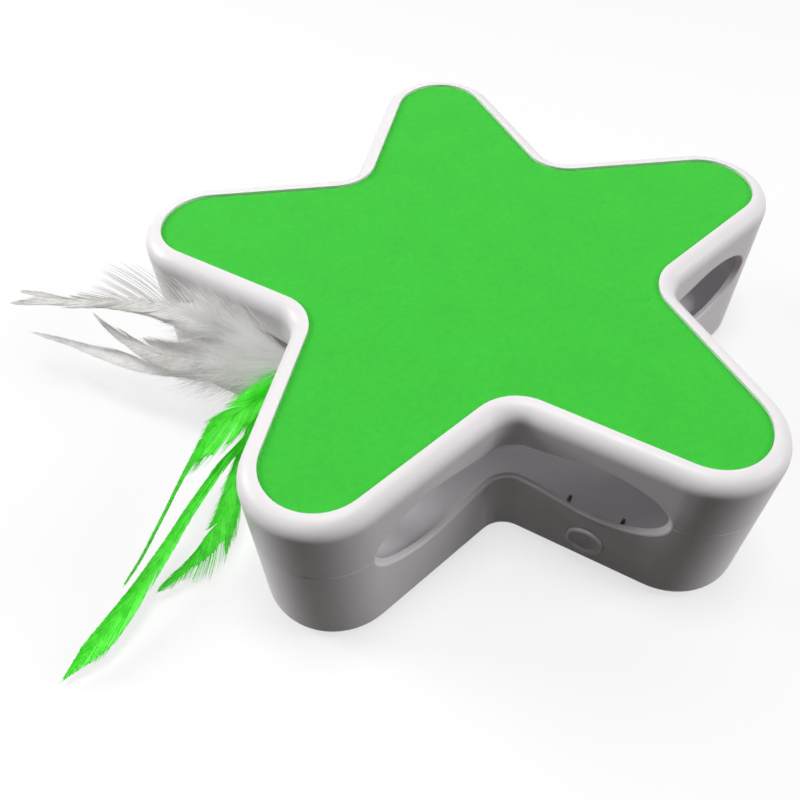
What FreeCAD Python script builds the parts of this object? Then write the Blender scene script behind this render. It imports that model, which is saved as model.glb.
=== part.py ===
import FreeCAD, Part
import math
import os

V = FreeCAD.Vector
UP = V(0, 0, 1)

# All sizes are millimetres. The star's centre is at x = y = 0, one tip points along +Y,
# and z = 0 is the surface that the rubber pads stand on.

# The star seen from above, drawn by the edge of the green sheet on its top.
arms = 5
sheet_point = 158.0          # centre to where two straight sides of the sheet would meet
sheet_tip_round = 17.75
sheet_notch_round = 16.55
rim_width = 6.6              # from the sheet's edge out to the shell's wall
sheet_gap = 0.15

# Heights of the two shells, from the flat base upwards.
pad_proud = 1.0
shell_height = 66.7
parting_height = 40.6
floor_thick = 2.2
roof_thick = 2.0
sheet_thick = 1.2
sheet_drop = 0.9             # the sheet lies this far below the rim's crest
wall = 2.1
top_round = 6.0
roof_inside_round = 3.6
foot_round = 3.6
tongue_thick = 0.9           # the tongue that centres the upper shell on the lower one
tongue_height = 1.5
tongue_gap = 0.1
parting_bevel = 0.25         # fine groove where the two shells meet

# The window that wraps round each notch: two ellipses joined by a waist, drawn square to
# the line from the star's centre to the notch.
window_centre = 26.35        # sideways from the notch to the middle of each ellipse
window_half_length = 19.2
window_half_height = 13.6
window_waist_half = 9.0
window_shoulder = 7.0        # how long the ellipse's top runs on before it dips
window_dip = 11.0            # how long the waist stays flat
window_edge_round = 0.8

# The inner deck that the turntable turns on.
deck_height = 23.7           # top of the deck above the flat base
deck_thick = 2.0
deck_gap = 0.3

# Posts and screws that hold the shells together, one set in each arm.
post_reach = 92.0
post_radius = 4.0
boss_radius = 4.6
shell_screw_radius = 1.45
shell_screw_grip = 11.0      # how far the screw runs into the post
screw_clearance = 0.2
screw_head_radius = 2.7
screw_head_height = 1.9
screw_well_radius = 3.3
screw_well_depth = 7.0
driver_depth = 1.0

# Rubber pads.
pad_reach = 107.0
pad_radius = 6.0
pad_thick = 2.0
pad_gap = 0.1

# Gear train: every wheel has the same tooth module.
module = 0.5
addendum_share = 0.8
dedendum_share = 1.2
tooth_backlash = 0.12
centre_play = 0.1
pressure_angle = math.radians(20)
pinion_teeth = 12
first_wheel_teeth = 42
second_wheel_teeth = 48
output_teeth = 50
wheel_thick = 2.2
level_gap = 0.4
train_angle_b = math.radians(200)
train_angle_a = math.radians(215)
train_angle_motor = math.radians(265)
pin_radius = 1.0
pin_seat = 1.0               # how deep each pin sits in the tray and in the deck
running_gap = 0.05
press_gap = 0.02
wheel_float = 0.3            # below each wheel of the lower level

# Gearbox tray, under the deck.
tray_floor = 1.5
tray_wall = 1.2
tray_room = 0.8
ear_radius = 3.6
ear_thick = 2.0
inner_screw_radius = 1.05
inner_head_radius = 2.1
inner_head_height = 1.5
inner_boss_radius = 2.9
inner_screw_grip = 6.0

# Motor.
motor_radius = 12.2
motor_height = 12.3
motor_nose_radius = 3.0
motor_nose = 1.2
motor_shaft_radius = 1.0
motor_bore_depth = 8.0
motor_screw_reach = 8.2
motor_lobe_radius = 12.2
motor_edge = 0.7             # bevel round the can's two ends

# Output shaft, bush and turntable.
shaft_radius = 2.0
shaft_flat = 0.5
shaft_foot = 2.5             # how far the shaft runs below the tray's floor
shaft_cup_radius = 4.0
bush_radius = 4.0
bush_flange_radius = 5.2
bush_flange = 0.5
table_lift = 0.8             # underside of the turntable above the deck
table_radius = 55.0
table_thick = 1.8
table_rim_height = 5.0
table_rim_thick = 1.8
hub_radius = 6.0
hub_height = 7.5
hub_roof = 1.2
rib_count = 6
rib_thick = 1.4
rib_height = 2.6
hub_screw_radius = 1.25
hub_screw_length = 7.0
table_bevel = 1.0            # under the disc's edge, and half of the slope at the hub's foot
root_sink = 0.5              # how far ribs and tower run into what they stand on

# Tower, plug, wire and ferrule that hold the feathers, along the line to the left notch.
plume_angle = math.radians(198)
tower_inset = 8.5            # the tower's middle from the disc's edge
tower_base = 13.0
tower_top = 8.5
socket_radius = 2.2
socket_depth = 9.0
barrel_overhang = 1.5        # the wand's barrel stands out this far on both sides of the tower
plug_collar_radius = 3.6
plug_collar = 1.6
wire_radius = 0.8
wire_length = 3.6
ferrule_radius = 3.8
ferrule_length = 6.6
ferrule_neck_radius = 2.6

# Battery box and its door, in the arm that points along +Y.
cell_radius = 7.25
cell_length = 49.5
cell_nub_radius = 2.75
cell_nub = 1.0
cell_count = 3
cell_pitch = 15.2
contact_room = 3.2
contact_thick = 0.4
contact_width = 8.0
bay_front = 22.6             # inside of the bay's front wall, measured along +Y
bay_wall = 1.6
bay_roof_gap = 0.4
door_thick = 2.0
door_gap = 0.3
cell_rest_gap = 0.3
barrel_radius = 1.6
hinge_pin_radius = 0.9
hinge_pin_length = 1.7
ear_block = 2.6
ear_height = 2.2
door_rib = 0.4
grip_radius = 7.0
grip_depth = 0.7             # the finger hollow at the door's front edge
rest_half_width = 1.2        # of the ribs on the door that hold the cells up
rest_share = 0.8             # part of the door's length that they run along
ridge_half_width = 3.0       # of the ridges between the cells, under the box's roof
ridge_depth = 2.4
ridge_end_gap = 4.0
box_edge_round = 1.2
cell_edge = 0.5

# Power button in the front notch, on the wall that runs to the right.
button_along = 32.2          # along the wall from the notch's virtual corner
button_height = 12.7
button_radius = 6.7
button_ring = 2.1
button_proud = 1.1
button_dish = 0.9
button_gap = 0.25
button_flange_radius = 7.9
button_flange = 1.0
button_stem_radius = 2.0
button_travel = 0.8
symbol_radius = 2.4
symbol_line = 0.7
symbol_raise = 0.25
clip_spacing = 19.3          # between the two bracket tongues that come up through the deck
clip_thick = 0.8
clip_slot_side = 0.35
clip_first = 3.4             # nearest edge of a tongue, inward from the outer wall
clip_last = 7.5
bracket_back = 9.0
bracket_plate = 1.2
board_thick = 1.6
board_height = 14.0
switch_side = 6.0
switch_depth = 3.4
switch_plunger_radius = 1.7
switch_plunger = 0.6         # how far the plunger stands out of the switch's body

# Leads between the batteries, the switch and the motor.
lead_radius = 0.7

# Feathers: flat blades whose quills leave the ferrule side by side.
quill_width = 0.9
blade_thick = 0.8
quill_step = 1.4             # between the rows of quills
quill_side = 1.1             # from the ferrule's middle to each column of quills

# Places that follow from the sizes above.
half_tip = math.pi / (2 * arms)
notch_share = math.cos(2 * math.pi / arms) / math.cos(math.pi / arms)
turn = 2 * math.pi / arms
base_z = pad_proud
part_z = base_z + parting_height
crest_z = base_z + shell_height
sheet_top_z = crest_z - sheet_drop
recess_z = sheet_top_z - sheet_thick
roof_z = recess_z - roof_thick
floor_z = base_z + floor_thick
deck_top_z = base_z + deck_height
deck_z = deck_top_z - deck_thick
upper_wheel_z = deck_z - level_gap - wheel_thick
lower_wheel_z = upper_wheel_z - level_gap - wheel_thick
tray_top_z = lower_wheel_z - wheel_float
tray_z = tray_top_z - tray_floor
table_z = deck_top_z + table_lift
table_top_z = table_z + table_thick
hub_bore_top = table_z + hub_height - hub_roof
tower_reach = table_radius - tower_inset
inner_offset = rim_width - wall
front_notch = -math.pi / 2
corner_reach = (sheet_point + rim_width / math.sin(half_tip)) * notch_share


def polar(reach, angle, z=0.0):
    return V(reach * math.cos(angle), reach * math.sin(angle), z)


def cylinder(radius, height, place, axis=UP):
    return Part.makeCylinder(radius, height, place, axis)


def box_between(low, high):
    return Part.makeBox(high.x - low.x, high.y - low.y, high.z - low.z, low)


def cut_all(shape, tools):
    for tool in tools:
        shape = shape.cut(tool)
    return shape


def fuse_all(shapes):
    whole = shapes[0]
    for shape in shapes[1:]:
        whole = whole.fuse(shape)
    return whole.removeSplitter()


def round_arms(make):
    """One copy for each arm, turned about the star's axis."""
    copies = []
    for k in range(arms):
        copy = make.copy()
        copy.rotate(V(0, 0, 0), UP, math.degrees(turn * k))
        copies.append(copy)
    return copies


def star_wire(offset, z):
    """The sheet's outline moved outwards by offset: straight sides joined by arcs."""
    tip = sheet_point + offset / math.sin(half_tip)
    notch_half = half_tip + math.pi / arms
    corners = []
    for k in range(2 * arms):
        angle = math.pi / 2 + k * math.pi / arms
        if k % 2 == 0:
            radius = sheet_tip_round + offset
            centre = tip - radius / math.sin(half_tip)
            reach = tip - radius / math.tan(half_tip) * math.cos(half_tip)
            side = radius * math.cos(half_tip)
            crest = centre + radius
        else:
            radius = sheet_notch_round - offset
            centre = tip * notch_share + radius / math.sin(notch_half)
            reach = centre - radius * math.sin(notch_half)
            side = radius * math.cos(notch_half)
            crest = centre - radius
        along = V(math.cos(angle), math.sin(angle), 0)
        across = V(-math.sin(angle), math.cos(angle), 0)
        first = along * reach - across * side + V(0, 0, z)
        last = along * reach + across * side + V(0, 0, z)
        corners.append((first, along * crest + V(0, 0, z), last))
    edges = []
    for k, (first, middle, last) in enumerate(corners):
        edges.append(Part.Arc(first, middle, last).toShape())
        edges.append(Part.LineSegment(last, corners[(k + 1) % len(corners)][0]).toShape())
    return Part.Wire(edges)


def star_block(offset, low, high):
    return Part.Face(star_wire(offset, low)).extrude(V(0, 0, high - low))


def edges_at(shape, z):
    return [e for e in shape.Edges if all(abs(v.Z - z) < 1e-6 for v in e.Vertexes)
            and abs(e.BoundBox.ZMax - z) < 1e-6 and abs(e.BoundBox.ZMin - z) < 1e-6]


def window_tool():
    """The front notch's window as a block that runs through the wall along Y."""
    y = -corner_reach - 3 * window_centre

    def point(x, z):
        return V(x, y, part_z + z)

    def ellipse_end(side):
        oval = Part.Ellipse(point(side * window_centre, 0), window_half_length, window_half_height)
        oval.Axis = V(0, -1, 0)
        oval.XAxis = V(1, 0, 0)
        top = point(side * window_centre, window_half_height)
        bottom = point(side * window_centre, -window_half_height)
        tip = point(side * (window_centre + window_half_length), 0)
        a = oval.parameter(top)
        b = oval.parameter(bottom)
        arc = Part.ArcOfEllipse(oval, a, b)
        middle = arc.value((arc.FirstParameter + arc.LastParameter) / 2)
        if middle.distanceToPoint(tip) > 1e-6:
            arc = Part.ArcOfEllipse(oval, b, a)
        return arc.toShape()

    def waist(side, up):
        curve = Part.BezierCurve()
        curve.setPoles([point(side * window_centre, up * window_half_height),
                        point(side * (window_centre - window_shoulder), up * window_half_height),
                        point(side * window_dip, up * window_waist_half),
                        point(0, up * window_waist_half)])
        return curve.toShape()

    edges = [ellipse_end(1), waist(1, 1), waist(-1, 1), ellipse_end(-1), waist(-1, -1), waist(1, -1)]
    outline = Part.Wire(Part.__sortEdges__(edges))
    inside = corner_reach - 3 * wall
    return Part.Face(outline).extrude(V(0, -y - inside, 0))


def windows():
    return round_arms(window_tool())


def outside_wall(point):
    """How far a point lies outside the shell's wall, measured square to it."""
    sector = round((math.atan2(point.y, point.x) - front_notch) / turn)
    away = front_notch + sector * turn
    reach = point.x * math.cos(away) + point.y * math.sin(away)
    side = abs(point.y * math.cos(away) - point.x * math.sin(away))
    slope = 2 * half_tip
    round_radius = sheet_notch_round - rim_width
    if side < round_radius * math.sin(math.pi / 2 - slope):
        return round_radius - math.hypot(corner_reach + round_radius / math.cos(slope) - reach, side)
    return (reach - corner_reach) * math.cos(slope) - side * math.sin(slope)


def round_window_edges(shell):
    """Eases the edges where the windows meet the outside of the wall."""
    rims = []
    for edge in shell.Edges:
        box = edge.BoundBox
        if box.ZMax > part_z + window_half_height + wall or box.ZMin < part_z - window_half_height - wall:
            continue
        if box.ZMax - box.ZMin < parting_bevel:
            continue
        spots = [edge.valueAt(edge.FirstParameter + (edge.LastParameter - edge.FirstParameter) * k / 4)
                 for k in range(5)]
        upright = math.hypot(spots[0].x - spots[4].x, spots[0].y - spots[4].y) < 1e-3
        if not upright and max(abs(outside_wall(spot)) for spot in spots) < running_gap:
            rims.append(edge)
    return shell.makeFillet(window_edge_round, rims)


def arm_angles():
    return [math.pi / 2 + turn * k for k in range(arms)]


def on_button_wall(along, inward, z):
    """A point by its place on the front notch's right-hand wall."""
    run = V(math.cos(half_tip * 2), -math.sin(half_tip * 2), 0)
    inside = V(math.sin(half_tip * 2), math.cos(half_tip * 2), 0)
    return V(0, -corner_reach, z) + run * along + inside * inward


button_in = on_button_wall(0, 1, 0) - on_button_wall(0, 0, 0)
button_z = base_z + button_height


def block_on_wall(along_mid, along_size, inward_low, inward_high, low, high):
    """A block with sides along and square to the button's wall."""
    block = Part.makeBox(along_size, inward_high - inward_low, high - low,
                         V(-along_size / 2, inward_low, low))
    block.rotate(V(0, 0, 0), UP, -math.degrees(half_tip * 2))
    start = on_button_wall(along_mid, 0, 0)
    block.translate(start)
    return block


# Gear positions: output wheel at the centre, then wheel B, wheel A and the motor.
def mesh_distance(teeth, other):
    return module * (teeth + other) / 2 + centre_play


output_place = V(0, 0, 0)
wheel_b_place = output_place + polar(mesh_distance(output_teeth, pinion_teeth), train_angle_b)
wheel_a_place = wheel_b_place + polar(mesh_distance(second_wheel_teeth, pinion_teeth), train_angle_a)
motor_place = wheel_a_place + polar(mesh_distance(first_wheel_teeth, pinion_teeth), train_angle_motor)
motor_z = tray_z - motor_height


def at(place, z):
    return V(place.x, place.y, z)


def gear_wheel(teeth, place, low, tooth_angle, bore):
    """An involute wheel with one tooth's middle at tooth_angle."""
    pitch = module * teeth / 2
    base = pitch * math.cos(pressure_angle)
    tip = pitch + addendum_share * module
    root = pitch - dedendum_share * module
    flank = max(base, root)

    def involute(radius):
        angle = math.acos(min(1.0, base / radius))
        return math.tan(angle) - angle

    def half_width(radius):
        at_pitch = math.pi / (2 * teeth) - tooth_backlash / (2 * pitch)
        return at_pitch + involute(pitch) - involute(radius)

    def spot(radius, angle):
        return polar(radius, tooth_angle + angle, low)

    def flank_arc(side, middle):
        radii = (flank, (flank + tip) / 2, tip)
        ends = [spot(r, middle + side * half_width(r)) for r in radii]
        if side > 0:
            ends.reverse()
        return Part.Arc(*ends).toShape()

    edges = []
    step = 2 * math.pi / teeth
    for k in range(teeth):
        middle = step * k
        foot = half_width(flank)
        head = half_width(tip)
        if flank > root:
            edges.append(Part.LineSegment(spot(root, middle - foot), spot(flank, middle - foot)).toShape())
        edges.append(flank_arc(-1, middle))
        edges.append(Part.LineSegment(spot(tip, middle - head), spot(tip, middle + head)).toShape())
        edges.append(flank_arc(1, middle))
        if flank > root:
            edges.append(Part.LineSegment(spot(flank, middle + foot), spot(root, middle + foot)).toShape())
        edges.append(Part.LineSegment(spot(root, middle + foot), spot(root, middle + step - foot)).toShape())
    wheel = Part.Face(Part.Wire(edges)).extrude(V(0, 0, wheel_thick))
    wheel = wheel.cut(cylinder(bore, 3 * wheel_thick, V(0, 0, low - wheel_thick)))
    wheel.translate(at(place, 0))
    return wheel


def half_tooth(teeth):
    return math.pi / teeth


def screw(head_radius, head_height, radius, length, seat, axis):
    """A pan-head screw with a cross recess; seat is under the head, axis runs to its tip."""
    back = V(-axis.x, -axis.y, -axis.z)
    head = cylinder(head_radius, head_height, seat, back)
    rim = [e for e in head.Edges if isinstance(e.Curve, Part.Circle)
           and abs((e.Curve.Center - seat).dot(back) - head_height) < 1e-6]
    head = head.makeChamfer(head_height * 0.4, rim)
    body = head.fuse(cylinder(radius, length, seat, axis))
    slot_length = head_radius * 1.1
    slot_width = head_radius * 0.28
    slots = []
    for size in ((slot_length, slot_width), (slot_width, slot_length)):
        slot = Part.makeBox(size[0], size[1], 2 * driver_depth,
                            V(-size[0] / 2, -size[1] / 2, -driver_depth))
        slot.translate(seat + back * head_height)
        slots.append(slot)
    return cut_all(body, slots).removeSplitter()


def lower_shell():
    cup = star_block(rim_width, base_z, part_z)
    cup = cup.makeFillet(foot_round, edges_at(cup, base_z))
    cup = cup.makeChamfer(parting_bevel, edges_at(cup, part_z))
    cup = cup.cut(star_block(inner_offset, floor_z, part_z + wall))
    tongue = star_block(inner_offset + tongue_thick, part_z - wall, part_z + tongue_height)
    tongue = tongue.cut(star_block(inner_offset, part_z - 2 * wall, part_z + wall + tongue_height))
    cup = cup.fuse(tongue)
    added = []
    removed = windows()
    for angle in arm_angles():
        spot = polar(post_reach, angle)
        added.append(cylinder(boss_radius, deck_z - floor_z, at(spot, floor_z)))
        removed.append(cylinder(screw_well_radius, screw_well_depth, at(spot, base_z)))
        removed.append(cylinder(shell_screw_radius + screw_clearance, deck_z, at(spot, base_z)))
        pad = polar(pad_reach, angle, base_z)
        removed.append(cylinder(pad_radius + pad_gap, pad_thick - pad_proud, pad))
    for spot, top in inner_bosses():
        added.append(cylinder(inner_boss_radius, top - floor_z, at(spot, floor_z)))
        removed.append(cylinder(inner_screw_radius + running_gap, inner_screw_grip,
                                at(spot, top - inner_screw_grip)))
    for side in (-1, 1):
        added.append(hinge_ear(side))
    removed.append(door_opening())
    removed.append(cylinder(hinge_pin_radius + running_gap, 2 * (door_half() + door_gap + ear_block + wall),
                            V(-door_half() - door_gap - ear_block - wall, hinge_y, hinge_z), V(1, 0, 0)))
    hole = cylinder(button_radius + button_gap, 3 * wall,
                    on_button_wall(button_along, -wall, button_z), button_in)
    removed.append(hole)
    cup = cup.fuse(added).removeSplitter()
    return round_window_edges(cut_all(cup, removed).removeSplitter())


def upper_shell():
    cap = star_block(rim_width, part_z, crest_z)
    cap = cap.makeFillet(top_round, edges_at(cap, crest_z))
    cap = cap.makeChamfer(parting_bevel, edges_at(cap, part_z))
    room = star_block(inner_offset, part_z - wall, roof_z)
    room = room.makeFillet(roof_inside_round, edges_at(room, roof_z))
    rebate = star_block(inner_offset + tongue_thick + tongue_gap, part_z - wall,
                        part_z + tongue_height + tongue_gap)
    recess = star_block(0, recess_z, crest_z + wall)
    cap = cut_all(cap, [room, rebate, recess])
    posts = []
    pilots = []
    for angle in arm_angles():
        spot = polar(post_reach, angle)
        posts.append(cylinder(post_radius, roof_z - deck_top_z + roof_thick / 2, at(spot, deck_top_z)))
        for lean in (math.pi / 4, 3 * math.pi / 4):
            rib = Part.makeBox(2 * post_radius * 1.7, rib_thick, roof_inside_round * 2,
                               V(-post_radius * 1.7, -rib_thick / 2, roof_z - roof_inside_round * 2))
            rib.rotate(V(0, 0, 0), UP, math.degrees(angle + lean))
            rib.translate(spot)
            posts.append(rib)
        pilots.append(cylinder(shell_screw_radius + running_gap, shell_screw_grip + wall, at(spot, deck_top_z)))
    cap = cap.fuse(posts)
    return round_window_edges(cut_all(cap, windows() + pilots).removeSplitter())


def green_sheet():
    return star_block(-sheet_gap, recess_z, sheet_top_z)


def rubber_pads():
    pads = []
    for angle in arm_angles():
        pad = cylinder(pad_radius, pad_thick, polar(pad_reach, angle))
        pads.append(pad.makeFillet(pad_proud * 0.5, edges_at(pad, 0)))
    return Part.makeCompound(pads)


def shell_screws():
    length = deck_top_z - base_z - screw_well_depth + shell_screw_grip
    seats = [polar(post_reach, angle, base_z + screw_well_depth) for angle in arm_angles()]
    return Part.makeCompound([screw(screw_head_radius, screw_head_height, shell_screw_radius, length, seat, UP)
                              for seat in seats])


def deck_plate():
    plate = star_block(inner_offset - deck_gap, deck_z, deck_top_z)
    holes = [cylinder(bush_radius + press_gap, 3 * deck_thick, V(0, 0, deck_z - deck_thick))]
    for angle in arm_angles():
        holes.append(cylinder(shell_screw_radius + screw_clearance, 3 * deck_thick,
                              polar(post_reach, angle, deck_z - deck_thick)))
    for place in (wheel_a_place, wheel_b_place):
        holes.append(cylinder(pin_radius + press_gap, pin_seat, at(place, deck_z)))
    for side in (-1, 1):
        holes.append(block_on_wall(button_along + side * clip_spacing / 2, clip_thick + 2 * clip_slot_side,
                                   clip_first - 2 * clip_slot_side, clip_last + clip_slot_side,
                                   deck_z - deck_thick, deck_top_z + deck_thick))
    return cut_all(plate, holes).removeSplitter()


# Gearbox tray and what sits in it.
def lobes(extra, low, high):
    rims = [(output_place, module * output_teeth / 2), (wheel_b_place, module * second_wheel_teeth / 2),
            (wheel_a_place, module * first_wheel_teeth / 2)]
    rounds = [cylinder(rim + module + tray_room + extra, high - low, at(place, low)) for place, rim in rims]
    rounds.append(cylinder(motor_lobe_radius + extra, high - low, at(motor_place, low)))
    return fuse_all(rounds)


def tray_ears():
    """Three screw ears outside the tray's wall."""
    reach = module * output_teeth / 2 + module + tray_room + tray_wall + ear_radius * 0.7
    first = output_place + polar(reach, math.radians(35))
    second = output_place + polar(reach, math.radians(285))
    out = motor_lobe_radius + tray_wall + ear_radius * 0.7
    third = motor_place + polar(out, math.radians(170))
    return [first, second, third]


def box_ears():
    """Two screw ears at the battery box's front corners."""
    y = bay_front - bay_wall - inner_boss_radius
    return [V(side * (bay_half() - inner_boss_radius), y, 0) for side in (-1, 1)]


def inner_bosses():
    bosses = [(spot, tray_z) for spot in tray_ears()]
    return bosses + [(spot, floor_z + inner_screw_grip + floor_thick) for spot in box_ears()]


def gearbox_tray():
    outer = lobes(tray_wall, tray_z, deck_z)
    outer = outer.cut(lobes(0, tray_top_z, deck_z + tray_floor))
    ears = [cylinder(ear_radius, ear_thick, at(spot, tray_z)) for spot in tray_ears()]
    cup = cylinder(shaft_cup_radius, shaft_foot + tray_floor / 2 + 1, V(0, 0, tray_z - shaft_foot - 1))
    tray = outer.fuse(ears + [cup])
    tray = tray.cut(lobes(0, tray_top_z, deck_z + tray_floor))
    holes = [cylinder(shaft_radius + running_gap, shaft_foot + 3 * tray_floor, V(0, 0, tray_z - shaft_foot))]
    for place in (wheel_a_place, wheel_b_place):
        holes.append(cylinder(pin_radius + press_gap, 2 * pin_seat, at(place, tray_top_z - pin_seat)))
    low = tray_z - tray_floor
    holes.append(cylinder(motor_nose_radius + running_gap, 3 * tray_floor, at(motor_place, low)))
    for spot in motor_screw_spots():
        holes.append(cylinder(inner_screw_radius + screw_clearance, 3 * tray_floor, at(spot, low)))
    for spot in tray_ears():
        holes.append(cylinder(inner_screw_radius + screw_clearance, 3 * ear_thick, at(spot, tray_z - ear_thick)))
    return cut_all(tray, holes).removeSplitter()


def motor_screw_spots():
    across = train_angle_motor + math.pi / 2
    return [motor_place + polar(side * motor_screw_reach, across) for side in (-1, 1)]


def motor_can():
    can = cylinder(motor_radius, motor_height, at(motor_place, motor_z))
    rims = [e for e in can.Edges if isinstance(e.Curve, Part.Circle)]
    can = can.makeChamfer(motor_edge, rims)
    can = can.fuse(cylinder(motor_nose_radius, motor_nose, at(motor_place, tray_z)))
    holes = [cylinder(motor_shaft_radius + running_gap, motor_bore_depth + motor_nose,
                      at(motor_place, tray_z - motor_bore_depth))]
    for spot in motor_screw_spots():
        holes.append(cylinder(inner_screw_radius + running_gap, inner_screw_grip,
                              at(spot, tray_z - inner_screw_grip)))
    return cut_all(can, holes).removeSplitter()


def motor_shaft():
    low = tray_z - motor_bore_depth + running_gap
    return cylinder(motor_shaft_radius, lower_wheel_z + wheel_thick - low, at(motor_place, low))


def motor_pinion():
    return gear_wheel(pinion_teeth, motor_place, lower_wheel_z, train_angle_motor + math.pi,
                      motor_shaft_radius + press_gap)


def wheel_a():
    big = gear_wheel(first_wheel_teeth, wheel_a_place, lower_wheel_z,
                     train_angle_motor + half_tooth(first_wheel_teeth), pin_radius + running_gap)
    small = gear_wheel(pinion_teeth, wheel_a_place, upper_wheel_z, train_angle_a + math.pi,
                       pin_radius + running_gap)
    return fuse_all([big, wheel_sleeve(wheel_a_place), small])


def wheel_b():
    small = gear_wheel(pinion_teeth, wheel_b_place, lower_wheel_z, train_angle_b + math.pi,
                       pin_radius + running_gap)
    big = gear_wheel(second_wheel_teeth, wheel_b_place, upper_wheel_z,
                     train_angle_a + half_tooth(second_wheel_teeth), pin_radius + running_gap)
    return fuse_all([small, wheel_sleeve(wheel_b_place), big])


def wheel_sleeve(place):
    """The short collar between the two toothed rims of a double wheel."""
    radius = module * pinion_teeth / 2 - dedendum_share * module
    low = lower_wheel_z + wheel_thick
    sleeve = cylinder(radius, level_gap, at(place, low))
    return sleeve.cut(cylinder(pin_radius + running_gap, 3 * level_gap, at(place, low - level_gap)))


def output_wheel():
    return gear_wheel(output_teeth, output_place, lower_wheel_z, train_angle_b + half_tooth(output_teeth),
                      shaft_radius + press_gap)


def wheel_pins():
    low = tray_top_z - pin_seat
    high = deck_z + pin_seat
    return Part.makeCompound([cylinder(pin_radius, high - low, at(place, low))
                              for place in (wheel_a_place, wheel_b_place)])


def motor_screws():
    down = V(0, 0, -1)
    return Part.makeCompound([screw(inner_head_radius * 0.8, wheel_float * 3, inner_screw_radius,
                                    tray_floor + inner_screw_grip / 2, at(spot, tray_top_z), down)
                              for spot in motor_screw_spots()])


def inner_screws():
    down = V(0, 0, -1)
    tops = [(spot, tray_z + ear_thick, ear_thick) for spot in tray_ears()]
    box_top = floor_z + inner_screw_grip + floor_thick + ear_thick
    tops += [(spot, box_top, ear_thick) for spot in box_ears()]
    return Part.makeCompound([screw(inner_head_radius, inner_head_height, inner_screw_radius,
                                    thick + inner_screw_grip * 0.8, at(spot, top), down)
                              for spot, top, thick in tops])


# Output shaft, bush and turntable.
def flatted_rod(radius, low, high, flat_low):
    """A round rod with one flat that starts at flat_low."""
    rod = cylinder(radius, high - low, V(0, 0, low))
    flat = box_between(V(-2 * radius, radius - shaft_flat, flat_low), V(2 * radius, 2 * radius, high + radius))
    return rod.cut(flat)


def output_shaft():
    low = tray_z - shaft_foot + running_gap
    high = hub_bore_top - wheel_float
    rod = flatted_rod(shaft_radius, low, high, table_z)
    return rod.cut(cylinder(hub_screw_radius + running_gap, hub_screw_length, V(0, 0, high - hub_screw_length)))


def deck_bush():
    bush = cylinder(bush_radius, deck_thick, V(0, 0, deck_z))
    bush = bush.fuse(cylinder(bush_flange_radius, bush_flange, V(0, 0, deck_top_z)))
    bore = cylinder(shaft_radius + running_gap, 3 * deck_thick, V(0, 0, deck_z - deck_thick))
    return bush.cut(bore).removeSplitter()


def turntable():
    """A dished disc with a hub, an upturned rim, ribs and the tower that carries the wand."""
    rim_in = table_radius - table_rim_thick
    profile = [V(0, 0, table_z), V(table_radius - table_bevel, 0, table_z),
               V(table_radius, 0, table_z + table_bevel),
               V(table_radius, 0, table_z + table_rim_height), V(rim_in, 0, table_z + table_rim_height),
               V(rim_in, 0, table_top_z), V(hub_radius + 2 * table_bevel, 0, table_top_z),
               V(hub_radius, 0, table_top_z + 2 * table_bevel), V(hub_radius, 0, table_z + hub_height),
               V(0, 0, table_z + hub_height), V(0, 0, table_z)]
    table = Part.Face(Part.makePolygon(profile)).revolve(V(0, 0, 0), UP, 360)
    ribs = []
    for k in range(rib_count):
        rib = box_between(V(hub_radius - 2 * root_sink, -rib_thick / 2, table_top_z - root_sink),
                          V(rim_in + root_sink, rib_thick / 2, table_top_z + rib_height))
        rib.rotate(V(0, 0, 0), UP, math.degrees(plume_angle) + (k + 0.5) * 360 / rib_count)
        ribs.append(rib)
    table = table.fuse(ribs + [wand_tower()])
    axis = polar(1, plume_angle)
    socket = cylinder(socket_radius + running_gap, socket_depth,
                      polar(tower_face() - socket_depth, plume_angle, part_z), axis)
    bore = flatted_rod(shaft_radius + running_gap, table_z - 1, hub_bore_top, table_z - 1)
    drill = cylinder(hub_screw_radius + screw_clearance, hub_height + 2, V(0, 0, table_z))
    return cut_all(table, [bore, drill, socket]).removeSplitter()


def tower_face():
    return tower_reach + tower_top / 2 + barrel_overhang


def wand_tower():
    """A tapered post from the disc up to the wand's socket."""
    def frame(size, depth, z):
        corners = [V(-depth / 2, -size / 2, z), V(depth / 2, -size / 2, z),
                   V(depth / 2, size / 2, z), V(-depth / 2, size / 2, z)]
        return Part.makePolygon(corners + [corners[0]])
    low = frame(tower_base, tower_top + 2, table_top_z - root_sink)
    high = frame(tower_top, tower_top, part_z + 1)
    post = Part.makeLoft([low, high], True, True)
    barrel = cylinder(tower_top / 2, tower_top + 2 * barrel_overhang,
                      V(-tower_top / 2 - barrel_overhang, 0, part_z), V(1, 0, 0))
    post = post.fuse(barrel)
    post.translate(V(tower_reach, 0, 0))
    post.rotate(V(0, 0, 0), UP, math.degrees(plume_angle))
    return post


def hub_screw():
    seat = V(0, 0, table_z + hub_height)
    return screw(screw_head_radius, screw_head_height, hub_screw_radius, hub_screw_length, seat, V(0, 0, -1))


def wand_plug():
    axis = polar(1, plume_angle)
    inside = cylinder(socket_radius, socket_depth - running_gap,
                      polar(tower_face() - socket_depth + running_gap, plume_angle, part_z), axis)
    collar = cylinder(plug_collar_radius, plug_collar, polar(tower_face(), plume_angle, part_z), axis)
    return inside.fuse(collar).removeSplitter()


def ferrule_start():
    return tower_face() + plug_collar + wire_length


def ferrule_mouth():
    return ferrule_start() + ferrule_length


def wand_wire():
    return cylinder(wire_radius, wire_length, polar(tower_face() + plug_collar, plume_angle, part_z),
                    polar(1, plume_angle))


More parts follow.
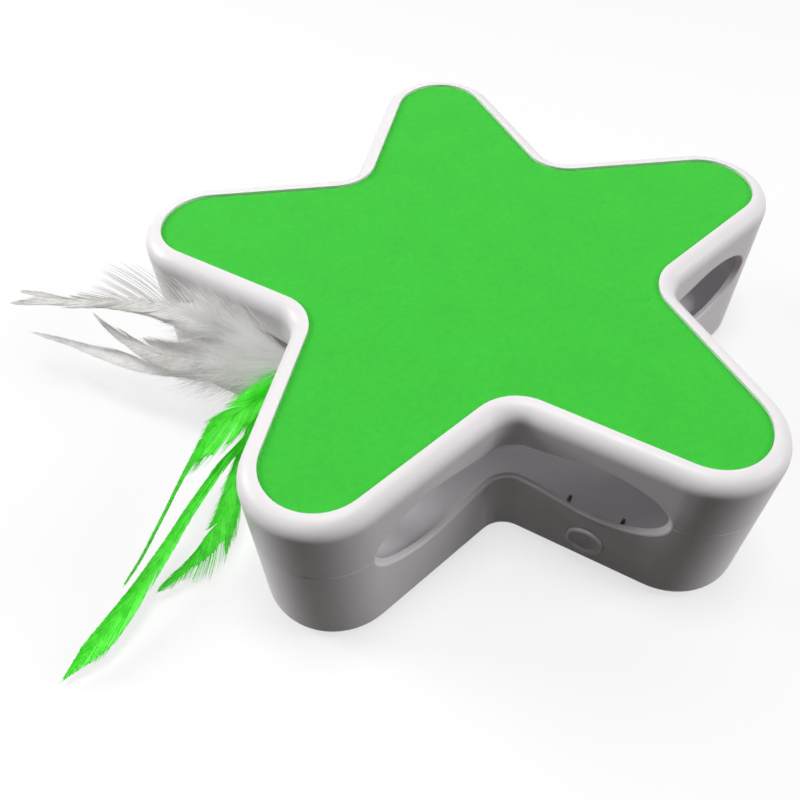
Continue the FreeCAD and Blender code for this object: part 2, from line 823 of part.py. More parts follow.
def feather_ferrule():
    """A crimped sleeve, narrow at the wire and flared where the quills leave it."""
    start = ferrule_start()
    mouth = ferrule_mouth()
    waist = start + ferrule_length * 0.55
    profile = [V(start, 0, 0), V(start, 0, ferrule_neck_radius - 0.5), V(start + 0.5, 0, ferrule_neck_radius),
               V(waist, 0, ferrule_neck_radius), V(waist + 0.8, 0, ferrule_radius), V(mouth, 0, ferrule_radius),
               V(mouth, 0, 0), V(start, 0, 0)]
    sleeve = Part.Face(Part.makePolygon(profile)).revolve(V(0, 0, 0), V(1, 0, 0), 360)
    sleeve.translate(V(0, 0, part_z))
    sleeve.rotate(V(0, 0, 0), UP, math.degrees(plume_angle))
    return sleeve


# Battery bay.
def bay_half():
    return cell_length / 2 + cell_nub / 2 + contact_room


def bay_length():
    return cell_count * cell_pitch + 2 * bay_roof_gap


def cell_y(k):
    return bay_front + bay_roof_gap + cell_pitch * (k + 0.5)


bay_back = bay_front + bay_length()
cell_z = base_z + door_thick + door_rib + cell_rest_gap + cell_radius
bay_roof_z = cell_z + cell_radius + bay_roof_gap
hinge_y = bay_back + bay_wall + door_gap + barrel_radius
hinge_z = base_z + barrel_radius


def door_half():
    return bay_half() - door_gap


def battery_box():
    outer = box_between(V(-bay_half() - bay_wall, bay_front - bay_wall, floor_z),
                        V(bay_half() + bay_wall, bay_back + bay_wall, bay_roof_z + bay_wall))
    top_edges = [e for e in outer.Edges if abs(e.BoundBox.ZMin - bay_roof_z - bay_wall) < 1e-6]
    outer = outer.makeFillet(box_edge_round, top_edges)
    ears = []
    ear_z = floor_z + inner_screw_grip + floor_thick
    for spot in box_ears():
        ears.append(cylinder(inner_boss_radius, ear_thick, at(spot, ear_z)))
        ears.append(box_between(V(spot.x - inner_boss_radius, spot.y, ear_z),
                                V(spot.x + inner_boss_radius, bay_front - bay_wall / 2, ear_z + ear_thick)))
    box = outer.fuse(ears)
    room = box_between(V(-bay_half(), bay_front, floor_z - wall), V(bay_half(), bay_back, bay_roof_z))
    for k in range(cell_count - 1):
        ridge_y = (cell_y(k) + cell_y(k + 1)) / 2
        corners = [V(0, ridge_y - ridge_half_width, bay_roof_z + root_sink),
                   V(0, ridge_y + ridge_half_width, bay_roof_z + root_sink),
                   V(0, ridge_y, bay_roof_z - ridge_depth)]
        ridge = Part.makePolygon(corners + [corners[0]])
        reach = cell_length / 2 - ridge_end_gap
        ridge = Part.Face(ridge).extrude(V(2 * reach, 0, 0))
        ridge.translate(V(-reach, 0, 0))
        room = room.cut(ridge)
    box = box.cut(room)
    holes = [cylinder(inner_screw_radius + screw_clearance, 3 * ear_thick, at(spot, ear_z - ear_thick))
             for spot in box_ears()]
    return cut_all(box, holes).removeSplitter()


def batteries():
    """Cells laid across the arm, each turned the other way from its neighbour."""
    cells = []
    for k in range(cell_count):
        way = 1 if k % 2 == 0 else -1
        axis = V(way, 0, 0)
        start = V(-way * (cell_length + cell_nub) / 2, cell_y(k), cell_z)
        body = cylinder(cell_radius, cell_length, start, axis)
        body = body.makeChamfer(cell_edge, [e for e in body.Edges if isinstance(e.Curve, Part.Circle)])
        nub = cylinder(cell_nub_radius, cell_nub, start + axis * cell_length, axis)
        cells.append(body.fuse(nub).removeSplitter())
    return Part.makeCompound(cells)


def nub_side(k):
    return 1 if k % 2 == 0 else -1


def contact_plates():
    """The flat contacts that meet the cells' raised ends."""
    plates = []
    for k in range(cell_count):
        side = nub_side(k)
        inner = (cell_length + cell_nub) / 2 + running_gap
        low = min(side * inner, side * bay_half())
        half = contact_width / 2
        plate = box_between(V(low, cell_y(k) - half, cell_z - half),
                            V(low + bay_half() - inner, cell_y(k) + half, cell_z + half))
        hollow_low = min(side * (inner + contact_thick), side * (bay_half() - contact_thick))
        hollow = box_between(V(hollow_low, cell_y(k) - contact_width, cell_z - contact_width),
                             V(hollow_low + bay_half() - inner - 2 * contact_thick, cell_y(k) + contact_width,
                               cell_z + contact_width / 2 - contact_thick))
        plates.append(plate.cut(hollow))
    return Part.makeCompound(plates)


def contact_springs():
    """Bowed strips of spring steel that press on the cells' flat ends."""
    strips = []
    for k in range(cell_count):
        side = -nub_side(k)
        face = (cell_length + cell_nub) / 2 + running_gap
        back = bay_half() - contact_thick
        reach = contact_width / 2

        def strip_side(shift):
            foot = V(side * (back + shift), 0, cell_z - reach)
            crown = V(side * (face + shift), 0, cell_z)
            head = V(side * (back + shift), 0, cell_z + reach)
            return foot, crown, head

        a = strip_side(0)
        b = strip_side(contact_thick)
        outline = Part.Wire([Part.Arc(*a).toShape(), Part.LineSegment(a[2], b[2]).toShape(),
                             Part.Arc(b[2], b[1], b[0]).toShape(), Part.LineSegment(b[0], a[0]).toShape()])
        strip = Part.Face(outline).extrude(V(0, contact_width * 0.7, 0))
        strip.translate(V(0, cell_y(k) - contact_width * 0.35, 0))
        strips.append(strip)
    return Part.makeCompound(strips)


def door_opening():
    opening = box_between(V(-bay_half(), bay_front + door_gap, base_z - wall),
                          V(bay_half(), hinge_y + barrel_radius + door_gap, floor_z + wall))
    return opening


def hinge_ear(side):
    low = bay_half() if side > 0 else -bay_half() - ear_block
    reach = barrel_radius + door_gap
    return box_between(V(low, hinge_y - reach, floor_z - floor_thick / 2),
                       V(low + ear_block, hinge_y + reach, floor_z + ear_height))


def battery_door():
    plate = box_between(V(-door_half(), bay_front + 2 * door_gap, base_z),
                        V(door_half(), hinge_y, base_z + door_thick))
    barrel = cylinder(barrel_radius, 2 * door_half(), V(-door_half(), hinge_y, hinge_z), V(1, 0, 0))
    pins = cylinder(hinge_pin_radius, 2 * (door_half() + hinge_pin_length),
                    V(-door_half() - hinge_pin_length, hinge_y, hinge_z), V(1, 0, 0))
    door = plate.fuse([barrel, pins])
    for k in range(cell_count):
        reach = door_half() * rest_share
        rest = box_between(V(-reach, cell_y(k) - rest_half_width, base_z + door_thick - root_sink),
                           V(reach, cell_y(k) + rest_half_width, base_z + door_thick + door_rib))
        door = door.fuse(rest)
    grip = cylinder(grip_radius, door_thick, V(0, bay_front + 2 * door_gap, base_z - door_thick + grip_depth))
    return door.cut(grip).removeSplitter()


# Power button, its switch and bracket.
def power_button():
    """A round cap with a raised ring, a dished middle and a small power symbol."""
    inner = button_radius - button_ring
    back = wall + button_proud + button_gap
    ring_mid = button_radius - button_ring / 2

    def point(radius, depth):
        return V(radius, 0, -depth)

    ring = Part.Arc(point(inner, button_dish), point(ring_mid, 0), point(button_radius, button_dish)).toShape()
    corners = [point(button_radius, button_dish), point(button_radius, back),
               point(button_flange_radius, back), point(button_flange_radius, back + button_flange),
               point(button_stem_radius, back + button_flange), point(button_stem_radius, button_back()),
               point(0, button_back()), point(0, button_dish), point(inner, button_dish)]
    outline = Part.Wire([ring] + Part.makePolygon(corners).Edges)
    cap = Part.Face(outline).revolve(V(0, 0, 0), UP, 360)
    cap = cap.fuse(power_symbol(-button_dish))
    return turn_to_wall(cap.removeSplitter())


def power_symbol(level):
    """A ring open at its top, with a short bar in the gap."""
    outer = symbol_radius + symbol_line / 2
    inner = symbol_radius - symbol_line / 2
    ring = cylinder(outer, 2 * symbol_raise, V(0, 0, level - symbol_raise))
    ring = ring.cut(cylinder(inner, 4 * symbol_raise, V(0, 0, level - 2 * symbol_raise)))
    gap = Part.makeBox(3 * symbol_line, outer * 2, 4 * symbol_raise,
                       V(-1.5 * symbol_line, 0, level - 2 * symbol_raise))
    bar = Part.makeBox(symbol_line, outer, 2 * symbol_raise,
                       V(-symbol_line / 2, symbol_line * 0.4, level - symbol_raise))
    return ring.cut(gap).fuse(bar)


def turn_to_wall(shape):
    """Turns +Z to the button wall's outward normal and moves the shape to the button."""
    shape.rotate(V(0, 0, 0), V(1, 0, 0), 90)
    shape.rotate(V(0, 0, 0), UP, -math.degrees(half_tip * 2))
    shape.translate(on_button_wall(button_along, -button_proud, button_z))
    return shape


def plunger_depth():
    return bracket_back - board_thick - switch_depth


def button_back():
    """Length of the button from its crest to the end of its stem."""
    return button_proud + plunger_depth() - button_travel - button_gap


def switch_board():
    return block_on_wall(button_along, clip_spacing - clip_thick - 2 * running_gap, bracket_back - board_thick,
                         bracket_back, button_z - board_height / 2, button_z + board_height / 2)


def tact_switch():
    face = bracket_back - board_thick
    body = block_on_wall(button_along, switch_side, plunger_depth() + switch_plunger, face,
                         button_z - switch_side / 2, button_z + switch_side / 2)
    plunger = cylinder(switch_plunger_radius, switch_plunger,
                       on_button_wall(button_along, plunger_depth(), button_z), button_in)
    return body.fuse(plunger).removeSplitter()


def switch_bracket():
    """A channel that holds the switch board; its two tongues come up through the deck."""
    width = clip_spacing + clip_thick
    back = block_on_wall(button_along, width, bracket_back, bracket_back + bracket_plate, floor_z, deck_z)
    pieces = [back]
    for side in (-1, 1):
        middle = button_along + side * clip_spacing / 2
        pieces.append(block_on_wall(middle, clip_thick, clip_first, bracket_back + bracket_plate,
                                    floor_z, deck_z))
        pieces.append(block_on_wall(middle, clip_thick, clip_first, clip_last, deck_z - wall, deck_top_z))
    return fuse_all(pieces)


# Leads.
def lead(points):
    """A tube along straight runs joined by tangent arcs, each as large as its runs allow."""
    edges = []
    start = points[0]
    length = 0.0
    for k in range(1, len(points) - 1):
        before = points[k - 1] - points[k]
        after = points[k + 1] - points[k]
        half = before.getAngle(after) / 2
        reach = 0.45 * min(before.Length, after.Length)
        first = points[k] + before.normalize() * reach
        last = points[k] + after.normalize() * reach
        radius = reach * math.tan(half)
        middle_way = (first + last) * 0.5 - points[k]
        middle_way.normalize()
        centre_away = radius / math.sin(half)
        middle = points[k] + middle_way * (centre_away - radius)
        edges.append(Part.LineSegment(start, first).toShape())
        edges.append(Part.Arc(first, middle, last).toShape())
        length += (first - start).Length + radius * (math.pi - 2 * half)
        print("lead bend radius", round(radius, 1))
        start = last
    edges.append(Part.LineSegment(start, points[-1]).toShape())
    length += (points[-1] - start).Length
    path = Part.Wire(edges)
    ring = Part.Wire(Part.Circle(points[0], points[1] - points[0], lead_radius).toShape())
    tube = path.makePipeShell([ring], True, False)
    print("lead volume ratio", round(tube.Volume / (math.pi * lead_radius ** 2 * length), 4))
    return tube


lead_z = floor_z + 4.5


def bay_exit(x):
    return V(x, bay_front - bay_wall, lead_z)


def motor_side(angle, z):
    return at(motor_place, z) + polar(motor_radius, math.radians(angle))


def lead_battery_motor():
    """From the battery box's front wall, round the left of the tray, to the motor."""
    start = bay_exit(-16)
    end = motor_side(150, lead_z)
    near = end + polar(7, math.radians(150))
    return lead([start, V(-16, 12, lead_z), V(-26, 5, lead_z), V(-38, 0, lead_z), V(-46, -9, lead_z),
                 near, end])


def lead_battery_switch():
    """From the battery box's front wall, down the right of the tray, to the switch board."""
    start = bay_exit(19.5)
    end = on_button_wall(button_along - 5, bracket_back + bracket_plate, lead_z)
    near = on_button_wall(button_along - 5, bracket_back + bracket_plate + 8, lead_z)
    return lead([start, V(19.5, 9, lead_z), V(27, -4, lead_z), V(29, -20, lead_z), V(35, -38, lead_z),
                 near, end])


def lead_switch_motor():
    """From the switch board back to the motor's front."""
    start = on_button_wall(button_along - 9, bracket_back + bracket_plate, lead_z)
    near = on_button_wall(button_along - 9, bracket_back + bracket_plate + 8, lead_z)
    end = motor_side(320, lead_z)
    return lead([start, near, V(13, -46, lead_z), V(-2, -42, lead_z),
                 end + polar(6, math.radians(320)), end])


# Feathers. Each one leaves the ferrule's mouth at its own spot and follows its path to the
# tip; white ones keep to the right of the green ones, seen from the star.
against_wall = V(-0.59, -0.81, 0.1)
to_the_front = V(0.1, -0.6, 0.8)
feathers = {
    "white_feather_1": {"row": 0, "column": -1, "width": 8, "facing": against_wall,
                        "path": [V(-78, -16.1, 46.5), V(-96.4, -3.2, 51), V(-117.2, 9.3, 50.5),
                                 V(-145.1, 19, 45.5), V(-178.7, 27.8, 40.5)]},
    "white_feather_2": {"row": 1, "column": -1, "width": 5, "facing": against_wall,
                        "path": [V(-79.5, -14.5, 42.5), V(-93.4, -4.9, 43.5), V(-120.4, 12.3, 43),
                                 V(-151.3, 24.9, 39.5), V(-178.6, 38.9, 36.5)]},
    "white_feather_3": {"row": 2, "column": -1, "width": 9, "facing": to_the_front,
                        "path": [V(-80.4, -16.8, 40), V(-107.7, -7.3, 36.5), V(-123.7, 1.1, 34),
                                 V(-150.5, 30.1, 30)]},
    "white_feather_4": {"row": 3, "column": -1, "width": 9, "facing": to_the_front,
                        "path": [V(-80.9, -19.2, 37), V(-109.1, -6.8, 30.5), V(-142.4, 9.5, 25),
                                 V(-180.3, 34.7, 17.5)]},
    "green_feather_1": {"row": 0, "column": 1, "width": 9, "facing": to_the_front,
                        "path": [V(-80.3, -29.7, 40), V(-97, -40.6, 36.5), V(-110.7, -56.8, 27),
                                 V(-128.9, -86.9, 16)]},
    "green_feather_2": {"row": 1, "column": 1, "width": 11, "facing": to_the_front,
                        "path": [V(-81, -29.5, 36.5), V(-95.4, -47.5, 25.5), V(-114.8, -70.3, 14.5),
                                 V(-149.4, -111.8, 3.5)]},
    "green_feather_3": {"row": 2, "column": 1, "width": 9, "facing": to_the_front,
                        "path": [V(-81.5, -30.5, 32.5), V(-91.8, -48, 20.5), V(-104.3, -71.6, 11),
                                 V(-121.2, -85, 5.5)]},
    "green_feather_4": {"row": 3, "column": 1, "width": 7, "facing": to_the_front,
                        "path": [V(-81.9, -28, 31), V(-92, -47.1, 16), V(-96.8, -64.8, 8),
                                 V(-98.3, -73.1, 4.5)]},
}


def lens_wire(middle, along, facing, width):
    """A thin lens-shaped section square to the feather's line."""
    side = along.cross(facing)
    side.normalize()
    up = side.cross(along)
    up.normalize()
    left = middle - side * (width / 2)
    right = middle + side * (width / 2)
    return Part.Wire([Part.Arc(left, middle + up * (blade_thick / 2), right).toShape(),
                      Part.Arc(right, middle - up * (blade_thick / 2), left).toShape()])


def feather(row, column, width, facing, path):
    """A flat blade of straight stretches between lens sections, evenly spaced along a smooth line."""
    across = V(-math.sin(plume_angle), math.cos(plume_angle), 0)
    level = (1.5 - row) * quill_step
    root = polar(ferrule_mouth(), plume_angle, part_z + level) + across * (column * quill_side)
    line = Part.BSplineCurve()
    line.interpolate([root] + path)
    widths = [quill_width, quill_width, 0.5 * width, 0.9 * width, width, 0.8 * width, 0.5 * width, quill_width]
    sections = []
    for k, section_width in enumerate(widths):
        u = line.FirstParameter + (line.LastParameter - line.FirstParameter) * k / (len(widths) - 1)
        along = line.tangent(u)[0]
        if k == 0:
            along = polar(1, plume_angle)
        sections.append(lens_wire(line.value(u), along, facing, section_width))
    return Part.makeLoft(sections, True, True)


nodes = {
    "lower_shell": lower_shell, "upper_shell": upper_shell, "green_sheet": green_sheet,
    "rubber_pads": rubber_pads, "shell_screws": shell_screws, "deck_plate": deck_plate,
    "gearbox_tray": gearbox_tray, "motor_can": motor_can, "motor_shaft": motor_shaft,
    "motor_pinion": motor_pinion, "double_wheel_a": wheel_a, "double_wheel_b": wheel_b,
    "output_wheel": output_wheel, "wheel_pins": wheel_pins, "motor_screws": motor_screws,
    "inner_screws": inner_screws, "output_shaft": output_shaft, "deck_bush": deck_bush,
    "turntable": turntable, "hub_screw": hub_screw, "wand_plug": wand_plug, "wand_wire": wand_wire,
    "feather_ferrule": feather_ferrule, "battery_box": battery_box, "batteries": batteries,
    "contact_plates": contact_plates, "contact_springs": contact_springs, "battery_door": battery_door,
    "power_button": power_button, "switch_board": switch_board, "tact_switch": tact_switch,
    "switch_bracket": switch_bracket, "lead_battery_motor": lead_battery_motor,
    "lead_battery_switch": lead_battery_switch, "lead_switch_motor": lead_switch_motor,
}

os.makedirs("parts", exist_ok=True)
for name, make in nodes.items():
    shape = make()
    shape.exportStep("parts/" + name + ".step")
    print(name, "solids", len(shape.Solids), "valid", shape.isValid(), "volume", round(shape.Volume, 1))
for name, plan in feathers.items():
    shape = feather(**plan)
    shape.exportStep("parts/" + name + ".step")
    print(name, "solids", len(shape.Solids), "valid", shape.isValid(), "volume", round(shape.Volume, 1))
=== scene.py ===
import math

import bpy
import numpy as np
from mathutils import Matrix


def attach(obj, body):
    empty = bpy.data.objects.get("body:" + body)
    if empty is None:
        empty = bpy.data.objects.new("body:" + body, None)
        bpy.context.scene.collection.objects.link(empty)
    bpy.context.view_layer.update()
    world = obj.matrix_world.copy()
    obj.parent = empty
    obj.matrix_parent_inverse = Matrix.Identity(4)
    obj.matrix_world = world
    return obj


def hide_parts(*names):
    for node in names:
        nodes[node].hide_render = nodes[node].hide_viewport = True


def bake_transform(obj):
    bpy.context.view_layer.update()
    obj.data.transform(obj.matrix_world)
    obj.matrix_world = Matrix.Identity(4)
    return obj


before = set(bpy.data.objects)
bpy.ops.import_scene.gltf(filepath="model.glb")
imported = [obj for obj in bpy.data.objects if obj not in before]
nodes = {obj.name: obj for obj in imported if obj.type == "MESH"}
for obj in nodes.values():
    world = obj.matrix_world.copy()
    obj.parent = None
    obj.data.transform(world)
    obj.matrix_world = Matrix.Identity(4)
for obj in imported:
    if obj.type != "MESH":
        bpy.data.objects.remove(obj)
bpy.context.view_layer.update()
millimetre = 0.001

# camera at the photograph's angle
view = {
    "place": (-0.043214, -0.217509, 0.258204), "elevation": 51.006, "azimuth": -6.978,
    "lens": 36.195, "sensor": 36, "shift": (-0.03774, 0.00482), "nearest": 0.01,
}
cameraData = bpy.data.cameras.new("camera")
cameraData.sensor_width = view["sensor"]
cameraData.lens = view["lens"]
cameraData.shift_x, cameraData.shift_y = view["shift"]
cameraData.clip_start = view["nearest"]
camera = bpy.data.objects.new("camera", cameraData)
bpy.context.collection.objects.link(camera)
camera.location = view["place"]
camera.rotation_euler = (math.radians(90 - view["elevation"]), 0, math.radians(view["azimuth"]))
bpy.context.scene.camera = camera
print("camera done")


# shader groups: each gives a colour, a roughness and a height for the bump
def startGroup(name, values, colours):
    group = bpy.data.node_groups.new(name, "ShaderNodeTree")
    for colour in colours:
        group.interface.new_socket(colour, in_out="INPUT", socket_type="NodeSocketColor")
    for value in values:
        group.interface.new_socket(value, in_out="INPUT", socket_type="NodeSocketFloat")
    group.interface.new_socket("Colour", in_out="OUTPUT", socket_type="NodeSocketColor")
    group.interface.new_socket("Roughness", in_out="OUTPUT", socket_type="NodeSocketFloat")
    group.interface.new_socket("Height", in_out="OUTPUT", socket_type="NodeSocketFloat")
    return group, group.nodes.new("NodeGroupInput"), group.nodes.new("NodeGroupOutput")


def noise(tree, scale, detail, stretch=None):
    # noise on object coordinates in metres, from about -1 to 1; stretch squeezes it along each axis
    place = tree.nodes.new("ShaderNodeTexCoord").outputs["Object"]
    if stretch is not None:
        squeeze = tree.nodes.new("ShaderNodeVectorMath")
        squeeze.operation = "MULTIPLY"
        squeeze.inputs[1].default_value = stretch
        tree.links.new(place, squeeze.inputs[0])
        place = squeeze.outputs["Vector"]
    cloud = tree.nodes.new("ShaderNodeTexNoise")
    cloud.inputs["Scale"].default_value = scale
    cloud.inputs["Detail"].default_value = detail
    tree.links.new(place, cloud.inputs["Vector"])
    spread = tree.nodes.new("ShaderNodeMapRange")
    spread.inputs["From Min"].default_value = 0.3
    spread.inputs["From Max"].default_value = 0.7
    spread.inputs["To Min"].default_value = -1.0
    spread.inputs["To Max"].default_value = 1.0
    tree.links.new(cloud.outputs["Fac"], spread.inputs["Value"])
    return spread.outputs["Result"]


def maths(tree, operation, a, b):
    step = tree.nodes.new("ShaderNodeMath")
    step.operation = operation
    for socket, value in zip(step.inputs, (a, b)):
        if isinstance(value, (int, float)):
            socket.default_value = value
        else:
            tree.links.new(value, socket)
    return step.outputs[0]


def scaled(tree, colour, factor):
    step = tree.nodes.new("ShaderNodeVectorMath")
    step.operation = "SCALE"
    tree.links.new(colour, step.inputs[0])
    tree.links.new(factor, step.inputs["Scale"])
    return step.outputs["Vector"]


# the patterns' scales are in repeats per metre
plastic = {"cloud": 22.0, "patch": 140.0, "grain": 1500.0}


def mouldedGroup():
    # moulded plastic: broad cloudiness, a few dull patches and a fine grain
    group, start, end = startGroup("mouldedFinish", ["Cloudiness", "Roughness"], ["Colour"])
    broad = maths(group, "MULTIPLY", noise(group, plastic["cloud"], 3.0), start.outputs["Cloudiness"])
    patches = maths(group, "MULTIPLY", noise(group, plastic["patch"], 2.0), start.outputs["Cloudiness"])
    shade = maths(group, "ADD", broad, 1.0)
    group.links.new(scaled(group, start.outputs["Colour"], shade), end.inputs["Colour"])
    dull = maths(group, "ADD", maths(group, "ADD", broad, patches), start.outputs["Roughness"])
    group.links.new(dull, end.inputs["Roughness"])
    group.links.new(noise(group, plastic["grain"], 2.0), end.inputs["Height"])
    return group


steel = {"lines": 900.0, "stretch": 0.06, "lineDepth": 0.06, "stains": 180.0, "stainDepth": 0.05}


def turnedGroup():
    # metal: fine drawn lines along Z and small stains
    group, start, end = startGroup("drawnMetal", ["Roughness"], ["Colour"])
    lines = noise(group, steel["lines"], 2.0, stretch=(1.0, 1.0, steel["stretch"]))
    stains = noise(group, steel["stains"], 3.0)
    factor = maths(group, "ADD", maths(group, "MULTIPLY", stains, steel["stainDepth"]), 1.0)
    group.links.new(scaled(group, start.outputs["Colour"], factor), end.inputs["Colour"])
    change = maths(group, "MULTIPLY", lines, steel["lineDepth"])
    group.links.new(maths(group, "ADD", change, start.outputs["Roughness"]), end.inputs["Roughness"])
    group.links.new(lines, end.inputs["Height"])
    return group


pile = {
    "fibres": 2600.0, "matted": 420.0, "mottle": 60.0, "shares": (0.6, 0.5, 0.35), "dullness": 0.05,
    "specks": 75.0, "speckSize": 0.028, "speckDepth": 0.28,
}


def feltGroup():
    # short pressed felt: matted fibres, faint mottling and a few dark specks
    group, start, end = startGroup("pressedFelt", ["Mottle", "Roughness"], ["Colour"])
    fibres = noise(group, pile["fibres"], 3.0)
    matted = noise(group, pile["matted"], 4.0)
    mottle = noise(group, pile["mottle"], 3.0)
    fine, coarse, broad = (maths(group, "MULTIPLY", layer, share)
                           for layer, share in zip((fibres, matted, mottle), pile["shares"]))
    both = maths(group, "ADD", maths(group, "ADD", fine, coarse), broad)
    shade = maths(group, "ADD", maths(group, "MULTIPLY", both, start.outputs["Mottle"]), 1.0)
    place = group.nodes.new("ShaderNodeTexCoord")
    dots = group.nodes.new("ShaderNodeTexVoronoi")
    dots.inputs["Scale"].default_value = pile["specks"]
    group.links.new(place.outputs["Object"], dots.inputs["Vector"])
    speck = maths(group, "LESS_THAN", dots.outputs["Distance"], pile["speckSize"])
    shade = maths(group, "SUBTRACT", shade, maths(group, "MULTIPLY", speck, pile["speckDepth"]))
    group.links.new(scaled(group, start.outputs["Colour"], shade), end.inputs["Colour"])
    change = maths(group, "MULTIPLY", fibres, pile["dullness"])
    group.links.new(maths(group, "ADD", change, start.outputs["Roughness"]), end.inputs["Roughness"])
    group.links.new(both, end.inputs["Height"])
    return group


quill = {"blotch": 330.0, "grain": 3000.0, "dullness": 0.5}


def plumeGroup():
    # feather: two colours mixed by the mesh's own tone, with darker and lighter barbs
    group, start, end = startGroup("plumeTint", ["Variation", "Roughness"], ["Colour", "Dark"])
    tone = group.nodes.new("ShaderNodeAttribute")
    tone.attribute_name = "tone"
    blotch = maths(group, "MULTIPLY", noise(group, quill["blotch"], 3.0), start.outputs["Variation"])
    amount = maths(group, "ADD", tone.outputs["Fac"], blotch)
    blend = group.nodes.new("ShaderNodeMix")
    blend.data_type = "RGBA"
    group.links.new(amount, blend.inputs["Factor"])
    ends = {socket.name: socket for socket in blend.inputs if socket.type == "RGBA"}
    group.links.new(start.outputs["Colour"], ends["A"])
    group.links.new(start.outputs["Dark"], ends["B"])
    mixed = [socket for socket in blend.outputs if socket.type == "RGBA"][0]
    group.links.new(mixed, end.inputs["Colour"])
    change = maths(group, "MULTIPLY", blotch, quill["dullness"])
    group.links.new(maths(group, "ADD", change, start.outputs["Roughness"]), end.inputs["Roughness"])
    group.links.new(noise(group, quill["grain"], 1.0), end.inputs["Height"])
    return group


finishes = {"moulded": mouldedGroup(), "metal": turnedGroup(), "felt": feltGroup(), "plume": plumeGroup()}


def finished(name, kind, colours, values, grain, strength=0.4, **plain):
    # a Principled surface fed by one finish group; plain holds sockets that are the same all over
    mat = bpy.data.materials.new(name)
    mat.use_nodes = True
    tree = mat.node_tree
    tree.nodes.clear()
    out = tree.nodes.new("ShaderNodeOutputMaterial")
    shader = tree.nodes.new("ShaderNodeBsdfPrincipled")
    finish = tree.nodes.new("ShaderNodeGroup")
    finish.node_tree = finishes[kind]
    for socket, colour in colours.items():
        finish.inputs[socket].default_value = (*colour, 1)
    for socket, value in values.items():
        finish.inputs[socket].default_value = value
    bump = tree.nodes.new("ShaderNodeBump")
    bump.inputs["Distance"].default_value = grain
    bump.inputs["Strength"].default_value = strength
    link = tree.links.new
    link(finish.outputs["Colour"], shader.inputs["Base Color"])
    link(finish.outputs["Roughness"], shader.inputs["Roughness"])
    link(finish.outputs["Height"], bump.inputs["Height"])
    link(bump.outputs["Normal"], shader.inputs["Normal"])
    for socket, value in plain.items():
        shader.inputs[socket.replace("_", " ")].default_value = value
    link(shader.outputs["BSDF"], out.inputs["Surface"])
    return mat


def moulded(name, colour, roughness, cloudiness=0.02, grain=0.00002, **plain):
    values = {"Roughness": roughness, "Cloudiness": cloudiness}
    return finished(name, "moulded", {"Colour": colour}, values, grain, **plain)


def drawn(name, colour, roughness):
    fineGrain = 0.00001
    return finished(name, "metal", {"Colour": colour}, {"Roughness": roughness}, fineGrain, Metallic=1.0)


def dress(names, mat):
    for name in names:
        mesh = nodes[name].data
        mesh.materials.clear()
        mesh.materials.append(mat)


# every CAD node that stays keeps its mesh and gets its own finish
whiteShell = moulded("whiteShell", (0.86, 0.84, 0.85), 0.33, Specular_IOR_Level=0.22)
# the inner white plastic glows faintly, a painted light that brightens its shaded inside
whiteInnerPaintedGlow = moulded("whiteInnerPaintedGlow", (0.89, 0.87, 0.90), 0.5, cloudiness=0.03, Specular_IOR_Level=0.36,
                     Emission_Color=(1.0, 0.93, 1.0, 1.0), Emission_Strength=0.035)
dress(["upper_shell", "lower_shell", "battery_door", "power_button"], whiteShell)
dress(["deck_plate", "turntable", "wand_plug", "feather_ferrule", "battery_box"], whiteInnerPaintedGlow)
dress(["switch_bracket"], moulded("bracketGrey", (0.15, 0.135, 0.14), 0.5, cloudiness=0.05))
dress(["gearbox_tray"], moulded("greyTray", (0.27, 0.27, 0.285), 0.5, cloudiness=0.03))
dress(["double_wheel_a", "double_wheel_b", "output_wheel", "motor_pinion"],
      moulded("gearNatural", (0.74, 0.72, 0.62), 0.42, cloudiness=0.03))
dress(["shell_screws", "wheel_pins", "motor_screws", "inner_screws", "output_shaft", "hub_screw", "wand_wire",
       "motor_shaft"], drawn("brightSteel", (0.58, 0.58, 0.59), 0.26))
dress(["motor_can"], drawn("motorSteel", (0.50, 0.50, 0.51), 0.38))
dress(["deck_bush"], drawn("bushBrass", (0.66, 0.45, 0.16), 0.3))
dress(["contact_plates", "contact_springs"], drawn("nickelContact", (0.64, 0.62, 0.58), 0.24))
dress(["switch_board"], moulded("boardGreen", (0.012, 0.11, 0.035), 0.35, cloudiness=0.12))
dress(["tact_switch"], moulded("switchBlack", (0.012, 0.012, 0.013), 0.45, cloudiness=0.1))
dress(["rubber_pads"], moulded("padRubber", (0.075, 0.075, 0.08), 0.8, cloudiness=0.12, grain=0.00008))
dress(["lead_battery_motor"], moulded("leadRed", (0.42, 0.012, 0.01), 0.4, cloudiness=0.08))
dress(["lead_battery_switch"], moulded("leadBlack", (0.012, 0.012, 0.012), 0.4, cloudiness=0.15))
dress(["lead_switch_motor"], moulded("leadBlue", (0.01, 0.03, 0.30), 0.4, cloudiness=0.08))


# steel cells in a blue jacket with a pale band near one end; each colour starts at a share of the length
jacket = {
    "halfLength": 0.025, "roughness": 0.3,
    "stops": [(0.0, (0.55, 0.55, 0.56)), (0.06, (0.02, 0.07, 0.26)), (0.70, (0.62, 0.56, 0.40)),
              (0.74, (0.02, 0.07, 0.26)), (0.95, (0.55, 0.55, 0.56))],
}


